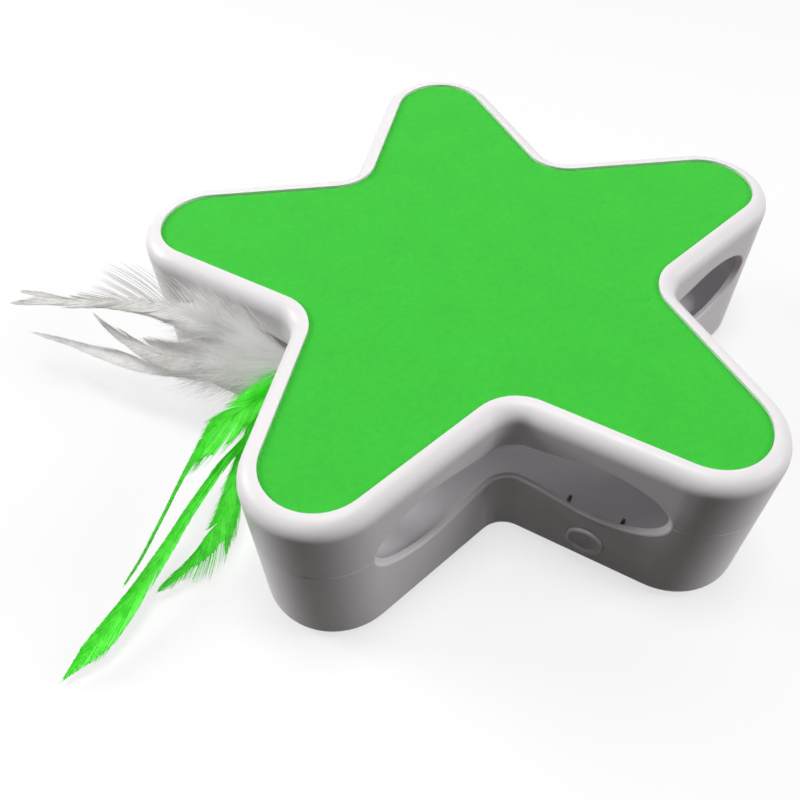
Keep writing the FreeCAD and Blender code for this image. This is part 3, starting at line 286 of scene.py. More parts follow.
def cellJacket():
    # drawn metal whose even colour gives way to the bands
    mat = drawn("cellJacket", jacket["stops"][0][1], jacket["roughness"])
    tree = mat.node_tree
    shader = [node for node in tree.nodes if node.type == "BSDF_PRINCIPLED"][0]
    place = tree.nodes.new("ShaderNodeTexCoord")
    parts = tree.nodes.new("ShaderNodeSeparateXYZ")
    tree.links.new(place.outputs["Object"], parts.inputs["Vector"])
    ramp = tree.nodes.new("ShaderNodeValToRGB")
    ramp.color_ramp.interpolation = "CONSTANT"
    for k, (where, colour) in enumerate(jacket["stops"]):
        stop = ramp.color_ramp.elements[k] if k < 2 else ramp.color_ramp.elements.new(where)
        stop.position = where
        stop.color = (*colour, 1)
    along = tree.nodes.new("ShaderNodeMapRange")
    along.inputs["From Min"].default_value = -jacket["halfLength"]
    along.inputs["From Max"].default_value = jacket["halfLength"]
    tree.links.new(parts.outputs["X"], along.inputs["Value"])
    tree.links.new(along.outputs["Result"], ramp.inputs["Fac"])
    tree.links.new(ramp.outputs["Color"], shader.inputs["Base Color"])
    return mat


dress(["batteries"], cellJacket())
print("CAD nodes dressed")


def outwardFaces(vertices, faces):
    # a closed shape's triangles, turned over if the volume that they enclose comes out negative
    a, b, c = (vertices[faces[:, k]] for k in range(3))
    if np.einsum("ij,ij->", a - vertices[0], np.cross(b - vertices[0], c - vertices[0])) < 0:
        return faces[:, ::-1]
    return faces


def makePiece(name, vertices, faces, mat, tones=None):
    # vertices are in millimetres; tones, one to a vertex, feed the feather finish
    mesh = bpy.data.meshes.new(name)
    mesh.from_pydata((vertices * millimetre).tolist(), [], faces.tolist())
    if tones is not None:
        mesh.attributes.new("tone", "FLOAT", "POINT").data.foreach_set("value", tones.astype(np.float32))
    mesh.materials.append(mat)
    mesh.shade_smooth()
    piece = bpy.data.objects.new(name, mesh)
    bpy.context.collection.objects.link(piece)
    return piece


# felt sheet on top, in millimetres: tip is where two straight sides would meet
felt = {
    "tip": 158.0, "tipRound": 17.75, "notchRound": 16.55, "low": 65.62, "high": 66.82, "edgeRound": 0.45,
    "swell": 0.04, "waves": (0.11, 0.13), "straightFrom": 20.0,
    "arcSteps": 24, "sideSteps": 14, "edgeSteps": 5, "rings": 30,
    "colour": (0.048, 0.575, 0.045), "roughness": 0.82, "mottle": 0.07, "grain": 0.00012,
}


def starOutline(plan, inset):
    # straight sides joined by arcs, tip and notch in turn, as (n, 2) points in order
    half = math.pi / 10
    notchHalf = half + math.pi / 5
    tip = plan["tip"] - inset / math.sin(half)
    share = math.cos(2 * math.pi / 5) / math.cos(math.pi / 5)
    points = []
    for k in range(10):
        angle = math.pi / 2 + k * math.pi / 5
        if k % 2 == 0:
            radius = plan["tipRound"] - inset
            centre = tip - radius / math.sin(half)
            sweep = np.linspace(-math.pi / 2 + half, math.pi / 2 - half, plan["arcSteps"])
            local = np.stack([centre + radius * np.cos(sweep), radius * np.sin(sweep)], 1)
        else:
            radius = plan["notchRound"] + inset
            centre = tip * share + radius / math.sin(notchHalf)
            sweep = np.linspace(-math.pi / 2 + notchHalf, math.pi / 2 - notchHalf, plan["arcSteps"])
            local = np.stack([centre - radius * np.cos(sweep), radius * np.sin(sweep)], 1)
        turn = np.array([[math.cos(angle), math.sin(angle)], [-math.sin(angle), math.cos(angle)]])
        points.append(local @ turn)
    corners = np.concatenate(points)
    following = np.roll(corners, -1, axis=0)
    gap = np.linalg.norm(following - corners, axis=1)
    longSides = np.flatnonzero(gap > plan["straightFrom"])
    between = np.linspace(0, 1, plan["sideSteps"])[1:-1]
    extra = corners[longSides, None] + (following - corners)[longSides, None] * between[None, :, None]
    order = np.concatenate([np.arange(len(corners), dtype=float),
                            (longSides[:, None] + between[None, :]).ravel()])
    everything = np.concatenate([corners, extra.reshape(-1, 2)])
    return everything[np.argsort(order, kind="stable")]


def feltSheet():
    # rings of the star's outline shrunk towards the centre: round over the edge, then flat with a faint swell
    turnDown = np.linspace(0, math.pi / 2, felt["edgeSteps"])
    edge = starOutline(felt, 0.0)
    bulge = felt["edgeRound"]
    rings = [np.column_stack([edge, np.full(len(edge), felt["low"])])]
    for angle in turnDown:
        outline = starOutline(felt, bulge * (1 - math.cos(angle)))
        height = felt["high"] - bulge * (1 - math.sin(angle))
        rings.append(np.column_stack([outline, np.full(len(edge), height)]))
    inner = rings[-1][:, :2]
    for share in np.linspace(1, 0, felt["rings"])[1:-1]:
        flat = inner * share
        waveX, waveY = flat[:, 0] * felt["waves"][0], flat[:, 1] * felt["waves"][1] + 1.0
        lift = felt["swell"] * np.sin(waveX) * np.sin(waveY)
        rings.append(np.column_stack([flat, felt["high"] + lift - felt["swell"]]))
    count = len(edge)
    vertices = np.concatenate(rings + [np.array([[0, 0, felt["high"] - felt["swell"]], [0, 0, felt["low"]]])])
    steps = np.arange(count)
    after = (steps + 1) % count
    faces = []
    for row in range(len(rings) - 1):
        a, b = row * count, (row + 1) * count
        faces.append(np.stack([a + steps, a + after, b + after], 1))
        faces.append(np.stack([a + steps, b + after, b + steps], 1))
    last = (len(rings) - 1) * count
    top, bottom = len(vertices) - 2, len(vertices) - 1
    faces.append(np.stack([last + steps, last + after, np.full(count, top)], 1))
    faces.append(np.stack([after, steps, np.full(count, bottom)], 1))
    values = {"Mottle": felt["mottle"], "Roughness": felt["roughness"]}
    mat = finished("greenFelt", "felt", {"Colour": felt["colour"]}, values, felt["grain"], strength=0.7,
                   Sheen_Weight=0.05, Sheen_Roughness=0.5, Specular_IOR_Level=0.2)
    faces = outwardFaces(vertices, np.concatenate(faces))
    piece = makePiece("feltSheet", vertices, faces, mat)
    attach(piece, "housing")
    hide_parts("green_sheet")


feltSheet()

# what all plumes share: they leave the star's centre at one angle, in four rows and two columns; barbWidths,
# downReaches, downWidths and curlTurns hold the least of a random value and its spread
plume = {
    "angle": math.radians(198), "mouth": 64.05, "level": 41.6, "straightOut": 6.0, "middleRow": 1.5,
    "rowStep": 1.4, "columnStep": 1.1, "bendStart": 64.4, "bendEnd": 68.3,
    "wallAngles": (234, 162), "wallReach": 55.43, "wallGap": 0.55, "floorGap": 0.6, "outsideFrom": 69.0,
    "lineSteps": 400, "shaftSteps": 260, "coarseStep": 4, "fineShaft": 1.5, "shaftSides": 6,
    "shaftWaist": (0.3, 0.75), "shaftEnd": 0.07, "shaftPoints": (0.1, 0.3),
    "vaneEnd": 0.985, "vaneThick": (0.13, 0.05), "vaneColumns": 8, "cutScatter": 0.33, "looseFrom": 5.0,
    "leastAngle": 0.05, "leastReach": 0.03, "slant": (0.16, 1.5),
    "rowGap": 0.0006, "rowScatter": 0.022, "edgeScatter": 0.10,
    "barbScatter": 0.8, "barbShort": 0.12, "barbTaper": 0.8, "barbWidths": (0.75, 0.5), "barbRidge": 0.5,
    "barbEdge": 1.6, "barbStreak": 1.4,
    "downRings": 9, "downForward": 0.22, "downRise": 0.25, "downAcross": 0.55, "downFacing": (0.12, 0.3),
    "downReaches": (0.35, 0.8), "downTaper": 0.6, "downWidths": (0.7, 0.6), "downRidge": 0.7,
    "downStreak": 0.08, "curls": ((0.10, 4.0), (0.035, 11.0)), "curlTurns": (0.7, 0.8), "curlPhase": 6,
}
outward = np.array([math.cos(plume["angle"]), math.sin(plume["angle"]), 0.0])
sideways = np.array([-math.sin(plume["angle"]), math.cos(plume["angle"]), 0.0])
wallNormals = [np.array([math.cos(angle), math.sin(angle), 0.0])
               for angle in map(math.radians, plume["wallAngles"])]


def smoothLine(points, count):
    # a smooth cubic curve through the points, whose knots lie apart by the square root of their distances,
    # then spaced evenly by its length
    points = np.asarray(points, float)
    padded = np.concatenate([[2 * points[0] - points[1]], points, [2 * points[-1] - points[-2]]])
    knots = np.concatenate([[0], np.cumsum(np.sqrt(np.linalg.norm(np.diff(padded, axis=0), axis=1)))])
    u = np.linspace(knots[1], knots[-2] - 1e-9, plume["lineSteps"])
    k = np.clip(np.searchsorted(knots, u, side="right") - 1, 1, len(padded) - 3)

    def mix(p, q, a, b):
        return ((b - u) / (b - a))[:, None] * p + ((u - a) / (b - a))[:, None] * q

    t = [knots[k - 1], knots[k], knots[k + 1], knots[k + 2]]
    p = [padded[k - 1], padded[k], padded[k + 1], padded[k + 2]]
    first = [mix(p[j], p[j + 1], t[j], t[j + 1]) for j in range(3)]
    second = [mix(first[j], first[j + 1], t[j], t[j + 2]) for j in range(2)]
    line = mix(second[0], second[1], t[1], t[2])
    travelled = np.concatenate([[0], np.cumsum(np.linalg.norm(np.diff(line, axis=0), axis=1))])
    even = np.linspace(0, travelled[-1], count)
    return np.stack([np.interp(even, travelled, line[:, j]) for j in range(3)], 1), travelled[-1]


def unit(vectors):
    return vectors / np.maximum(np.linalg.norm(vectors, axis=-1, keepdims=True), 1e-9)


def scatter(rng, limits, shape):
    # even random values from the least upwards
    least, spread = limits
    return least + spread * rng.random(shape)


def keepClear(points):
    # outside the housing a strand stays off the notch's two walls and off the floor
    outside = points @ outward > plume["outsideFrom"]
    for normal in wallNormals:
        short = plume["wallReach"] + plume["wallGap"] - points @ normal
        points = points + np.where(outside & (short > 0), short, 0)[..., None] * normal
    points[..., 2] = np.maximum(points[..., 2], plume["floorGap"])
    return points


def strands(paths, widths, flat, thickness):
    # closed three-sided strips: paths (n, k, 3), widths (n, k); flat (n, 3) is the strip's face direction
    n, k = widths.shape
    along = unit(np.gradient(paths, axis=1))
    across = unit(np.cross(flat[:, None, :], along))
    ridge = unit(np.cross(along, across))
    rings = np.stack([paths - across * widths[..., None] / 2, paths + ridge * (widths * thickness)[..., None],
                      paths + across * widths[..., None] / 2], 2)
    rings = rings[:, :-1].reshape(n, (k - 1) * 3, 3)
    vertices = np.concatenate([rings, paths[:, -1:]], 1)
    size = vertices.shape[1]
    faces = [[0, 2, 1]]
    for row in range(k - 2):
        for j in range(3):
            a, b = row * 3 + j, row * 3 + (j + 1) % 3
            faces += [[a, b, b + 3], [a, b + 3, a + 3]]
    last = (k - 2) * 3
    faces += [[last + j, last + (j + 1) % 3, size - 1] for j in range(3)]
    faces = np.array(faces)[None] + (np.arange(n) * size)[:, None, None]
    return vertices.reshape(-1, 3), faces.reshape(-1, 3), size


def tube(line, radii):
    # a round tapering tube with a short point at each end; its rings start from a direction that no shaft
    # runs in
    sides = plume["shaftSides"]
    along = unit(np.gradient(line, axis=0))
    across = unit(np.cross(along, np.array([0.13, -0.2, 0.97])))
    up = np.cross(along, across)
    angles = np.linspace(0, 2 * math.pi, sides, endpoint=False)
    rings = line[:, None] + radii[:, None, None] * (np.cos(angles)[None, :, None] * across[:, None]
                                                    + np.sin(angles)[None, :, None] * up[:, None])
    rootPoint, tipPoint = plume["shaftPoints"]
    ends = [line[:1] - along[:1] * rootPoint, line[-1:] + along[-1:] * tipPoint]
    vertices = np.concatenate([rings.reshape(-1, 3)] + ends)
    steps = np.arange(sides)
    after = (steps + 1) % sides
    faces = []
    for row in range(len(line) - 1):
        a, b = row * sides, (row + 1) * sides
        faces.append(np.stack([a + steps, a + after, b + after], 1))
        faces.append(np.stack([a + steps, b + after, b + steps], 1))
    last = (len(line) - 1) * sides
    faces.append(np.stack([after, steps, np.full(sides, len(vertices) - 2)], 1))
    faces.append(np.stack([last + steps, last + after, np.full(sides, len(vertices) - 1)], 1))
    return vertices, np.concatenate(faces)


def closedSheet(centres, normals, thick, tones):
    # a thin closed sheet from a grid of points (n, k, 3), with two faces and four narrow edges
    n, k = centres.shape[:2]
    shift = normals[:, None] * thick[None, :, None] / 2
    vertices = np.concatenate([(centres + shift).reshape(-1, 3), (centres - shift).reshape(-1, 3)])
    cell = np.arange(n * k).reshape(n, k)
    a, b, c, d = (part.ravel() for part in (cell[:-1, :-1], cell[1:, :-1], cell[1:, 1:], cell[:-1, 1:]))
    under = n * k
    faces = [np.stack([a, b, c], 1), np.stack([a, c, d], 1),
             np.stack([a, c, b], 1) + under, np.stack([a, d, c], 1) + under]
    border = np.concatenate([cell[0, :-1], cell[:-1, -1], cell[-1, :0:-1], cell[:0:-1, 0]])
    after = np.roll(border, -1)
    faces += [np.stack([border, after, after + under], 1),
              np.stack([border, after + under, border + under], 1)]
    return vertices, np.concatenate(faces), np.tile(tones.ravel(), 2)


def vaneField(plan, side, rng, line, length, frames):
    # one side of the vane: lobes that part a little towards their ends, and where each barb runs
    share, along, across, normal = frames
    reachOf, angleOf = plan["reach"][side], plan["angles"]
    lobes = plan["lobes"][side]
    places = np.arange(1, lobes) + rng.uniform(-plume["cutScatter"], plume["cutScatter"], lobes - 1)
    cuts = plan["from"] + (1 - plan["from"]) * places / lobes
    middles = (np.concatenate([[plan["from"]], cuts]) + np.concatenate([cuts, [1.0]])) / 2
    tilt = rng.normal(0, plan["split"], lobes)
    lean = plan["cup"] + rng.normal(0, plan["ruffle"], lobes)
    fray = rng.random(lobes)
    stations = np.linspace(plan["from"], 1, len(reachOf))
    angleStations = np.linspace(plan["from"], 1, len(angleOf))

    def at(values, where):
        return np.stack([np.interp(where, share, values[:, j]) for j in range(3)], -1)

    def spots(where, u, spread=0.0):
        # a barb starts at its angle and turns forward along its length by the share forward; its lobe
        # pulls its end together, and near the tip it is short enough to end inside a point whose sides
        # rise by taper
        lobe = np.searchsorted(cuts, where)
        start = np.radians(np.interp(where, angleStations, angleOf)) + spread
        slope = np.tan(np.maximum(start * (1 - plan["forward"] / 2), plume["leastAngle"]))
        left = (1 - where) * length * slope * plan["taper"] / (slope + plan["taper"])
        full = np.interp(where, stations, reachOf) * (1 - plan["ragged"] * fray[lobe])
        reach = np.minimum(full, left + plume["leastReach"])
        loose = np.minimum(1, reach / plume["looseFrom"])
        turn = start * plan["forward"] - tilt[lobe] * loose
        barb = reach / np.sin(np.clip(start - turn / 2, *plume["slant"]))
        heading = start[:, None] - turn[:, None] * u / 2
        t, a, m = at(along, where), at(across, where) * (1 if side == 0 else -1), at(normal, where)
        pull = (middles[lobe] - where) * length * plan["gather"] * loose
        ahead = u * barb[:, None] * np.cos(heading) + pull[:, None] * u ** 2
        outside = u * barb[:, None] * np.sin(heading)
        lift = (lean[lobe] * barb)[:, None] * u ** 2
        points = (at(line, where)[:, None] + ahead[..., None] * t[:, None] + outside[..., None] * a[:, None]
                  + lift[..., None] * m[:, None])
        return keepClear(points), m

    return cuts, spots


def vaneSheets(plan, side, rng, spots, cuts):
    # one thin closed sheet to a lobe: each row follows a barb out to its share solid
    toneStations = np.linspace(plan["from"], 1, len(plan["tone"]))
    solidOf = plan["solid"][side]
    limits = np.concatenate([[plan["from"]], cuts, [plume["vaneEnd"]]])
    u = np.linspace(0, 1, plume["vaneColumns"])
    sheets = []
    for low, high in zip(limits[:-1], limits[1:]):
        rows = max(3, int((high - low) * plan["rows"]))
        where = np.linspace(low + plume["rowGap"], high - plume["rowGap"], rows)
        solid = np.interp(where, np.linspace(plan["from"], 1, len(solidOf)), solidOf)
        edge = solid * (1 + plume["edgeScatter"] * rng.standard_normal(rows) * plan["edgeNoise"])
        centres, m = spots(where, u[None, :] * edge[:, None])
        centres += rng.normal(0, plume["rowScatter"], rows)[:, None, None] * m[:, None]
        rowTone = np.interp(where, toneStations, plan["tone"])[:, None]
        tones = rowTone + rng.normal(0, plan["streak"], rows)[:, None] + plan["edgeTone"] * u[None, :] ** 2
        vertices, faces, dark = closedSheet(centres, m, np.linspace(*plume["vaneThick"], len(u)), tones)
        sheets.append((vertices, outwardFaces(vertices, faces), dark))
    return sheets


def singleBarbs(plan, side, rng, spots):
    # finer barbs that run out past the sheets' edge
    toneStations = np.linspace(plan["from"], 1, len(plan["tone"]))
    count = plan["barbs"][side]
    places = np.arange(count) + rng.random(count) * plume["barbScatter"]
    where = plan["from"] + (plume["vaneEnd"] - plan["from"]) * places / count
    past = 1 + plan["past"] * rng.random(count) ** 1.5 - plume["barbShort"] * rng.random(count)
    u = np.linspace(0, 1, plan["rings"])
    paths, m = spots(where, u[None, :] * past[:, None], rng.normal(0, plan["stray"], count))
    widths = (plan["barbWidth"] * (1 - plume["barbTaper"] * u ** 1.3))[None, :]
    widths = widths * scatter(rng, plume["barbWidths"], (count, 1))
    vertices, faces = strands(paths, widths, m, plume["barbRidge"])[:2]
    dark = np.interp(where, toneStations, plan["tone"])[:, None]
    dark = dark + plan["edgeTone"] * plume["barbEdge"] * u[None, :-1].repeat(3, 1)
    dark = dark + rng.normal(0, plan["streak"] * plume["barbStreak"], count)[:, None]
    dark = np.concatenate([dark, dark[:, -1:]], 1)
    return vertices, outwardFaces(vertices, faces), dark.ravel()


def downTuft(plan, rng, line, frames):
    # fine strands round the lower shaft: each runs out straight, with two sine waves that grow along it
    share, along, across, normal = frames
    count = plan["down"]
    where = plan["downFrom"] + (plan["downTo"] - plan["downFrom"]) * rng.random(count) ** 1.2
    p, t, a, m = (np.stack([np.interp(where, share, values[:, j]) for j in range(3)], -1)
                  for values in (line, along, across, normal))
    spin = rng.normal(0, 1, (count, 3))
    facing, wander = plume["downFacing"]
    aside = a * spin[:, :1] * plume["downAcross"]
    forwards = m * (facing + wander * spin[:, 1:2])
    upwards = np.array([0, 0, plume["downRise"]]) * (spin[:, 2:] + plan["downLift"])
    aim = unit(t * plan["downLean"] + aside + forwards + upwards)
    reach = plan["downReach"] * scatter(rng, plume["downReaches"], count)
    u = np.linspace(0, 1, plume["downRings"])
    paths = p[:, None] + aim[:, None] * (reach[:, None] * u[None, :])[..., None]
    for bend, turns in plume["curls"]:
        curl = unit(np.cross(aim, rng.normal(0, 1, (count, 3))))
        turned = u[None, :] * turns * scatter(rng, plume["curlTurns"], (count, 1))
        wave = np.sin(turned + plume["curlPhase"] * rng.random((count, 1)))
        wave = (wave - wave[:, :1]) * (reach * bend)[:, None] * u[None, :]
        paths += wave[..., None] * curl[:, None]
    paths += (t[:, None] * (reach * plume["downForward"])[:, None, None]) * (u ** 2)[None, :, None]
    paths = keepClear(paths)
    widths = (plan["downWidth"] * (1 - plume["downTaper"] * u))[None, :]
    widths = widths * scatter(rng, plume["downWidths"], (count, 1))
    vertices, faces, size = strands(paths, widths, unit(rng.normal(0, 1, (count, 3))), plume["downRidge"])
    dark = np.repeat(plan["downTone"] + rng.normal(0, plume["downStreak"], count), size)
    return vertices, outwardFaces(vertices, faces), dark


def makeFeather(name, plan, mat):
    # from the ferrule straight out through the window, then along the plume's own path
    rng = np.random.default_rng(plan["seed"])
    rise = (plume["middleRow"] - plan["row"]) * plume["rowStep"]
    root = (outward * plume["mouth"] + sideways * plan["column"] * plume["columnStep"]
            + np.array([0, 0, plume["level"] + rise]))
    window = root + outward * plume["straightOut"]
    line, length = smoothLine([root, window] + plan["path"], plume["shaftSteps"])
    share = np.linspace(0, 1, len(line))
    lead = np.flatnonzero(line @ outward < plume["bendEnd"] + plume["fineShaft"])
    keep = np.unique(np.concatenate([lead, np.arange(0, len(line), plume["coarseStep"]), [len(line) - 1]]))
    waist, slimmer = plume["shaftWaist"]
    shaft = np.interp(share, [0, waist, 1], [plan["shaft"], plan["shaft"] * slimmer, plume["shaftEnd"]])
    vertices, faces = tube(line[keep], shaft[keep])
    groups = [(vertices, outwardFaces(vertices, faces), np.zeros(len(vertices)))]
    along = unit(np.gradient(line, axis=0))
    turns = np.linspace(0, 1, len(plan["facing"]))
    facing = np.stack([np.interp(share, turns, [f[j] for f in plan["facing"]]) for j in range(3)], 1)
    across = unit(np.cross(facing, along))
    frames = (share, along, across, np.cross(along, across))
    for side in (0, 1):
        cuts, spots = vaneField(plan, side, rng, line, length, frames)
        groups += vaneSheets(plan, side, rng, spots, cuts)
        groups.append(singleBarbs(plan, side, rng, spots))
    groups.append(downTuft(plan, rng, line, frames))

    starts = np.cumsum([0] + [len(g[0]) for g in groups[:-1]])
    vertices = np.concatenate([g[0] for g in groups])
    faces = np.concatenate([g[1] + s for g, s in zip(groups, starts)])
    tones = np.clip(np.concatenate([g[2] for g in groups]), 0, 1)
    piece = makePiece(name, vertices, faces, mat, tones)
    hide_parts(plan["node"])
    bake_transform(piece)
    print(name, "done,", len(faces), "triangles")


# Each plume: path is its shaft outside the window; reach is how far its barbs run on either side, and angles
# how steeply they leave the shaft, both from the root to the tip; solid is the share of a barb that lies in a
# closed sheet; tone darkens it; down is the tuft at its root.
wallFacing = (-0.46, -0.66, 0.60)
openFacing = (-0.12, -0.42, 0.90)
frontFacing = (0.05, -0.45, 0.89)
allPlumes = {
    "shaft": 0.32, "split": 0.04, "barbs": (230, 230), "rings": 9, "forward": 0.45, "ruffle": 0.05,
    "gather": 0.2, "solid": ((0.8,), (0.8,)), "stray": 0.03, "downLift": 0.0,
}
whiteShared = {
    "column": -1, "from": 0.09, "lobes": (4, 4), "ragged": 0.06, "angles": (40, 30, 20), "cup": 0.10,
    "taper": 0.3, "rows": 240, "edgeNoise": 0.5, "edgeTone": 0.18, "streak": 0.13, "past": 0.15,
    "barbWidth": 0.22, "down": 1000, "downFrom": 0.055, "downTo": 0.32, "downLean": 1.0, "downReach": 17,
    "downWidth": 0.14, "downTone": 0.0, "facing": (wallFacing, wallFacing, openFacing, openFacing),
}
greenShared = {
    "column": 1, "from": 0.08, "lobes": (5, 5), "ragged": 0.08, "angles": (34, 26, 16), "cup": 0.08,
    "taper": 0.4, "rows": 250, "edgeNoise": 0.4, "edgeTone": 0.10, "streak": 0.16, "past": 0.2,
    "barbWidth": 0.24, "down": 300, "downFrom": 0.06, "downTo": 0.22, "downLean": 1.3, "downReach": 12,
    "downWidth": 0.16, "downTone": 0.15, "facing": (frontFacing,),
}
whitePlumes = [
    {"node": "white_feather_1", "row": 0, "seed": 11,
     "path": [(-77.7, -16.6, 46.5), (-86, -8, 49), (-96.1, -3.7, 51), (-105.2, 2.1, 51.5),
              (-116.8, 8.7, 50.5), (-129, 14.7, 48), (-144.7, 18.5, 45.5), (-160.7, 23, 43),
              (-178.1, 27.2, 40.5)],
     "reach": ([2, 3.5, 5, 6, 6, 5.5, 4.5, 3, 1.8, 1.5, 1.5, 0.5],
               [7, 8, 9, 12, 12, 9, 5, 3.2, 2.6, 2.8, 3.4, 0.8]),
     "angles": (52, 48, 44, 26, 17, 13, 11, 10), "lobes": (5, 8), "past": 0.12, "taper": 0.25,
     "solid": ((0.8,), (0.4, 0.5, 0.3, 0.12, 0.15, 0.35, 0.8, 0.9, 0.8)),
     "barbs": (190, 85), "barbWidth": 0.42, "split": 0.05, "edgeTone": 0.25, "streak": 0.17,
     "tone": [0, 0, 0, 0, 0.08, 0.2, 0.35, 0.4, 0.3, 0.3, 0.4, 0.45],
     "down": 1700, "downLift": 1.8, "downFrom": 0.03},
    {"node": "white_feather_2", "row": 1, "seed": 12,
     "path": [(-81.3, -13.4, 42.5), (-93.1, -5.4, 44), (-106.2, 3, 44.5), (-120, 11.8, 43.5),
              (-136.3, 19.1, 41.5), (-150.8, 24.4, 39.5), (-163.9, 31.5, 38), (-178, 38.4, 36.5)],
     "reach": ([2, 4, 4, 2.5, 1.6, 1.2, 1, 0.4], [2, 3.5, 3.5, 2.5, 1.6, 1.6, 1.4, 0.5]),
     "angles": (38, 30, 20, 12), "tone": [0.05, 0.1, 0.2, 0.3, 0.4, 0.4, 0.4, 0.4]},
    {"node": "white_feather_3", "row": 2, "seed": 13,
     "path": [(-80.2, -16.7, 40), (-94, -11.7, 38), (-107.3, -7.7, 36.5), (-123.3, 0.6, 34),
              (-134, 9.6, 32.5), (-143.4, 20.4, 31), (-150, 29.6, 30)],
     "reach": ([2, 4, 6, 6, 5, 3.4, 2, 1.6, 0.9, 0.2], [2, 5, 9, 10, 9, 7, 2, 1.6, 0.9, 0.2]),
     "angles": (38, 30, 22, 16), "lobes": (1, 2), "taper": 0.17,
     "tone": [0.05, 0.1, 0.2, 0.35, 0.5, 0.55, 0.55, 0.5, 0.5, 0.5]},
    {"node": "white_feather_4", "row": 3, "seed": 14,
     "path": [(-80.7, -18.9, 37), (-95, -13.1, 33), (-108.7, -7.2, 30.5), (-124.8, -0.5, 28),
              (-141.9, 9.1, 25), (-160.3, 21.7, 21.5), (-179.7, 34.2, 17.5)],
     "reach": ([2, 3.5, 4, 4, 3.6, 2.8, 2, 1.4, 1.0, 0.2], [2, 6, 7, 6, 4.5, 3.2, 2, 1.4, 1.0, 0.2]),
     "angles": (38, 28, 18, 12), "lobes": (1, 2), "taper": 0.17,
     "tone": [0, 0, 0, 0, 0.05, 0.1, 0.15, 0.25, 0.3, 0.3]},
]
greenPlumes = [
    {"node": "green_feather_1", "row": 0, "seed": 21,
     "path": [(-80.1, -30.1, 40), (-87.9, -35.6, 38.5), (-96.7, -41, 36.5), (-104.1, -48.4, 32),
              (-110.4, -57.1, 27), (-116.8, -67.6, 22), (-123.3, -79, 18), (-128.5, -87.2, 16)],
     "reach": ([2, 7, 9, 9, 6, 1.8, 0.9, 0.7, 0.6, 0.6, 0.5, 0.3],
               [2, 5, 4.5, 3.5, 2, 0.9, 0.7, 0.6, 0.6, 0.5, 0.5, 0.3]),
     "past": 0.3, "tone": [0.1, 0.1, 0.1, 0.2, 0.3, 0.4, 0.4, 0.5, 0.5]},
    {"node": "green_feather_2", "row": 1, "seed": 22, "shaft": 0.42,
     "path": [(-80.7, -29.9, 36), (-86.3, -39.8, 31), (-95.1, -47.9, 25.5), (-105.2, -58.6, 19.5),
              (-114.4, -70.5, 14.5), (-123.2, -82.8, 11), (-132.6, -94.6, 8), (-140.6, -103.7, 6),
              (-148.9, -111.9, 3.5)],
     "reach": ([0.8, 1.3, 1.6, 1.9, 2.3, 3.2, 4.6, 5, 3.8, 0.4],
               [0.8, 1.3, 1.6, 1.8, 2, 2.4, 3, 3.2, 2.6, 0.4]),
     "angles": (24, 20, 16, 13), "lobes": (3, 1), "past": 0.08, "split": 0.02, "ragged": 0.03,
     "solid": ((0.88,), (0.92,)), "tone": [0.2, 0.1, 0.2, 0.2, 0.3, 0.2, 0.1, 0.2, 0.3, 0.4]},
    {"node": "green_feather_3", "row": 2, "seed": 23,
     "path": [(-81.2, -28.3, 33), (-87.1, -38.6, 26.5), (-91.5, -48.3, 20.5), (-97.8, -62.6, 14.5),
              (-103.9, -71.8, 11), (-112, -78.9, 8), (-120.8, -85.2, 5.5)],
     "reach": ([1, 1.5, 2, 5, 8, 8, 5, 0.6], [1, 1.2, 2, 3.5, 3.5, 2.5, 1.6, 0.5]),
     "angles": (34, 26, 18), "lobes": (8, 5), "split": 0.09, "ragged": 0.25,
     "solid": ((0.5,), (0.75,)), "tone": [0.1, 0.1, 0.2, 0.3, 0.3, 0.4, 0.5, 0.6]},
    {"node": "green_feather_4", "row": 3, "seed": 24,
     "path": [(-81.6, -27.6, 30.5), (-87.2, -38.8, 22), (-91.7, -47.4, 16), (-94.4, -57, 11.5),
              (-96.5, -65, 8), (-98, -73.3, 4.5)],
     "reach": ([1, 1.5, 2, 3, 4, 3, 0.6], [1, 1.5, 3, 4, 3, 2, 0.6]),
     "barbs": (120, 120), "split": 0.12, "ragged": 0.4,
     "solid": ((0.6,), (0.6,)), "tone": [0.1, 0.1, 0.2, 0.3, 0.3, 0.4, 0.5]},
]
# the white plumes glow a little, a painted light that brightens their shaded side
whitePlumePaintedGlowMat = finished("whitePlume", "plume", {"Colour": (0.89, 0.885, 0.87), "Dark": (0.44, 0.43, 0.385)},
                         {"Variation": 0.14, "Roughness": 0.62}, grain=0.00002, Subsurface_Weight=0.3,
                         Subsurface_Radius=(1.0, 1.0, 1.0), Subsurface_Scale=0.002,
                         Emission_Color=(1.0, 1.0, 0.98, 1.0), Emission_Strength=0.10)
# the green plumes glow a little, a painted light that makes them brighter than their colour alone
greenPlumePaintedGlowMat = finished("greenPlume", "plume", {"Colour": (0.09, 0.90, 0.03), "Dark": (0.012, 0.38, 0.006)},
                         {"Variation": 0.24, "Roughness": 0.55}, grain=0.00002,
                         Emission_Color=(0.05, 1.0, 0.02, 1.0), Emission_Strength=0.13)
for number, own in enumerate(whitePlumes, 1):
    makeFeather("whitePlume%d" % number, {**allPlumes, **whiteShared, **own}, whitePlumePaintedGlowMat)
for number, own in enumerate(greenPlumes, 1):
    makeFeather("greenPlume%d" % number, {**allPlumes, **greenShared, **own}, greenPlumePaintedGlowMat)

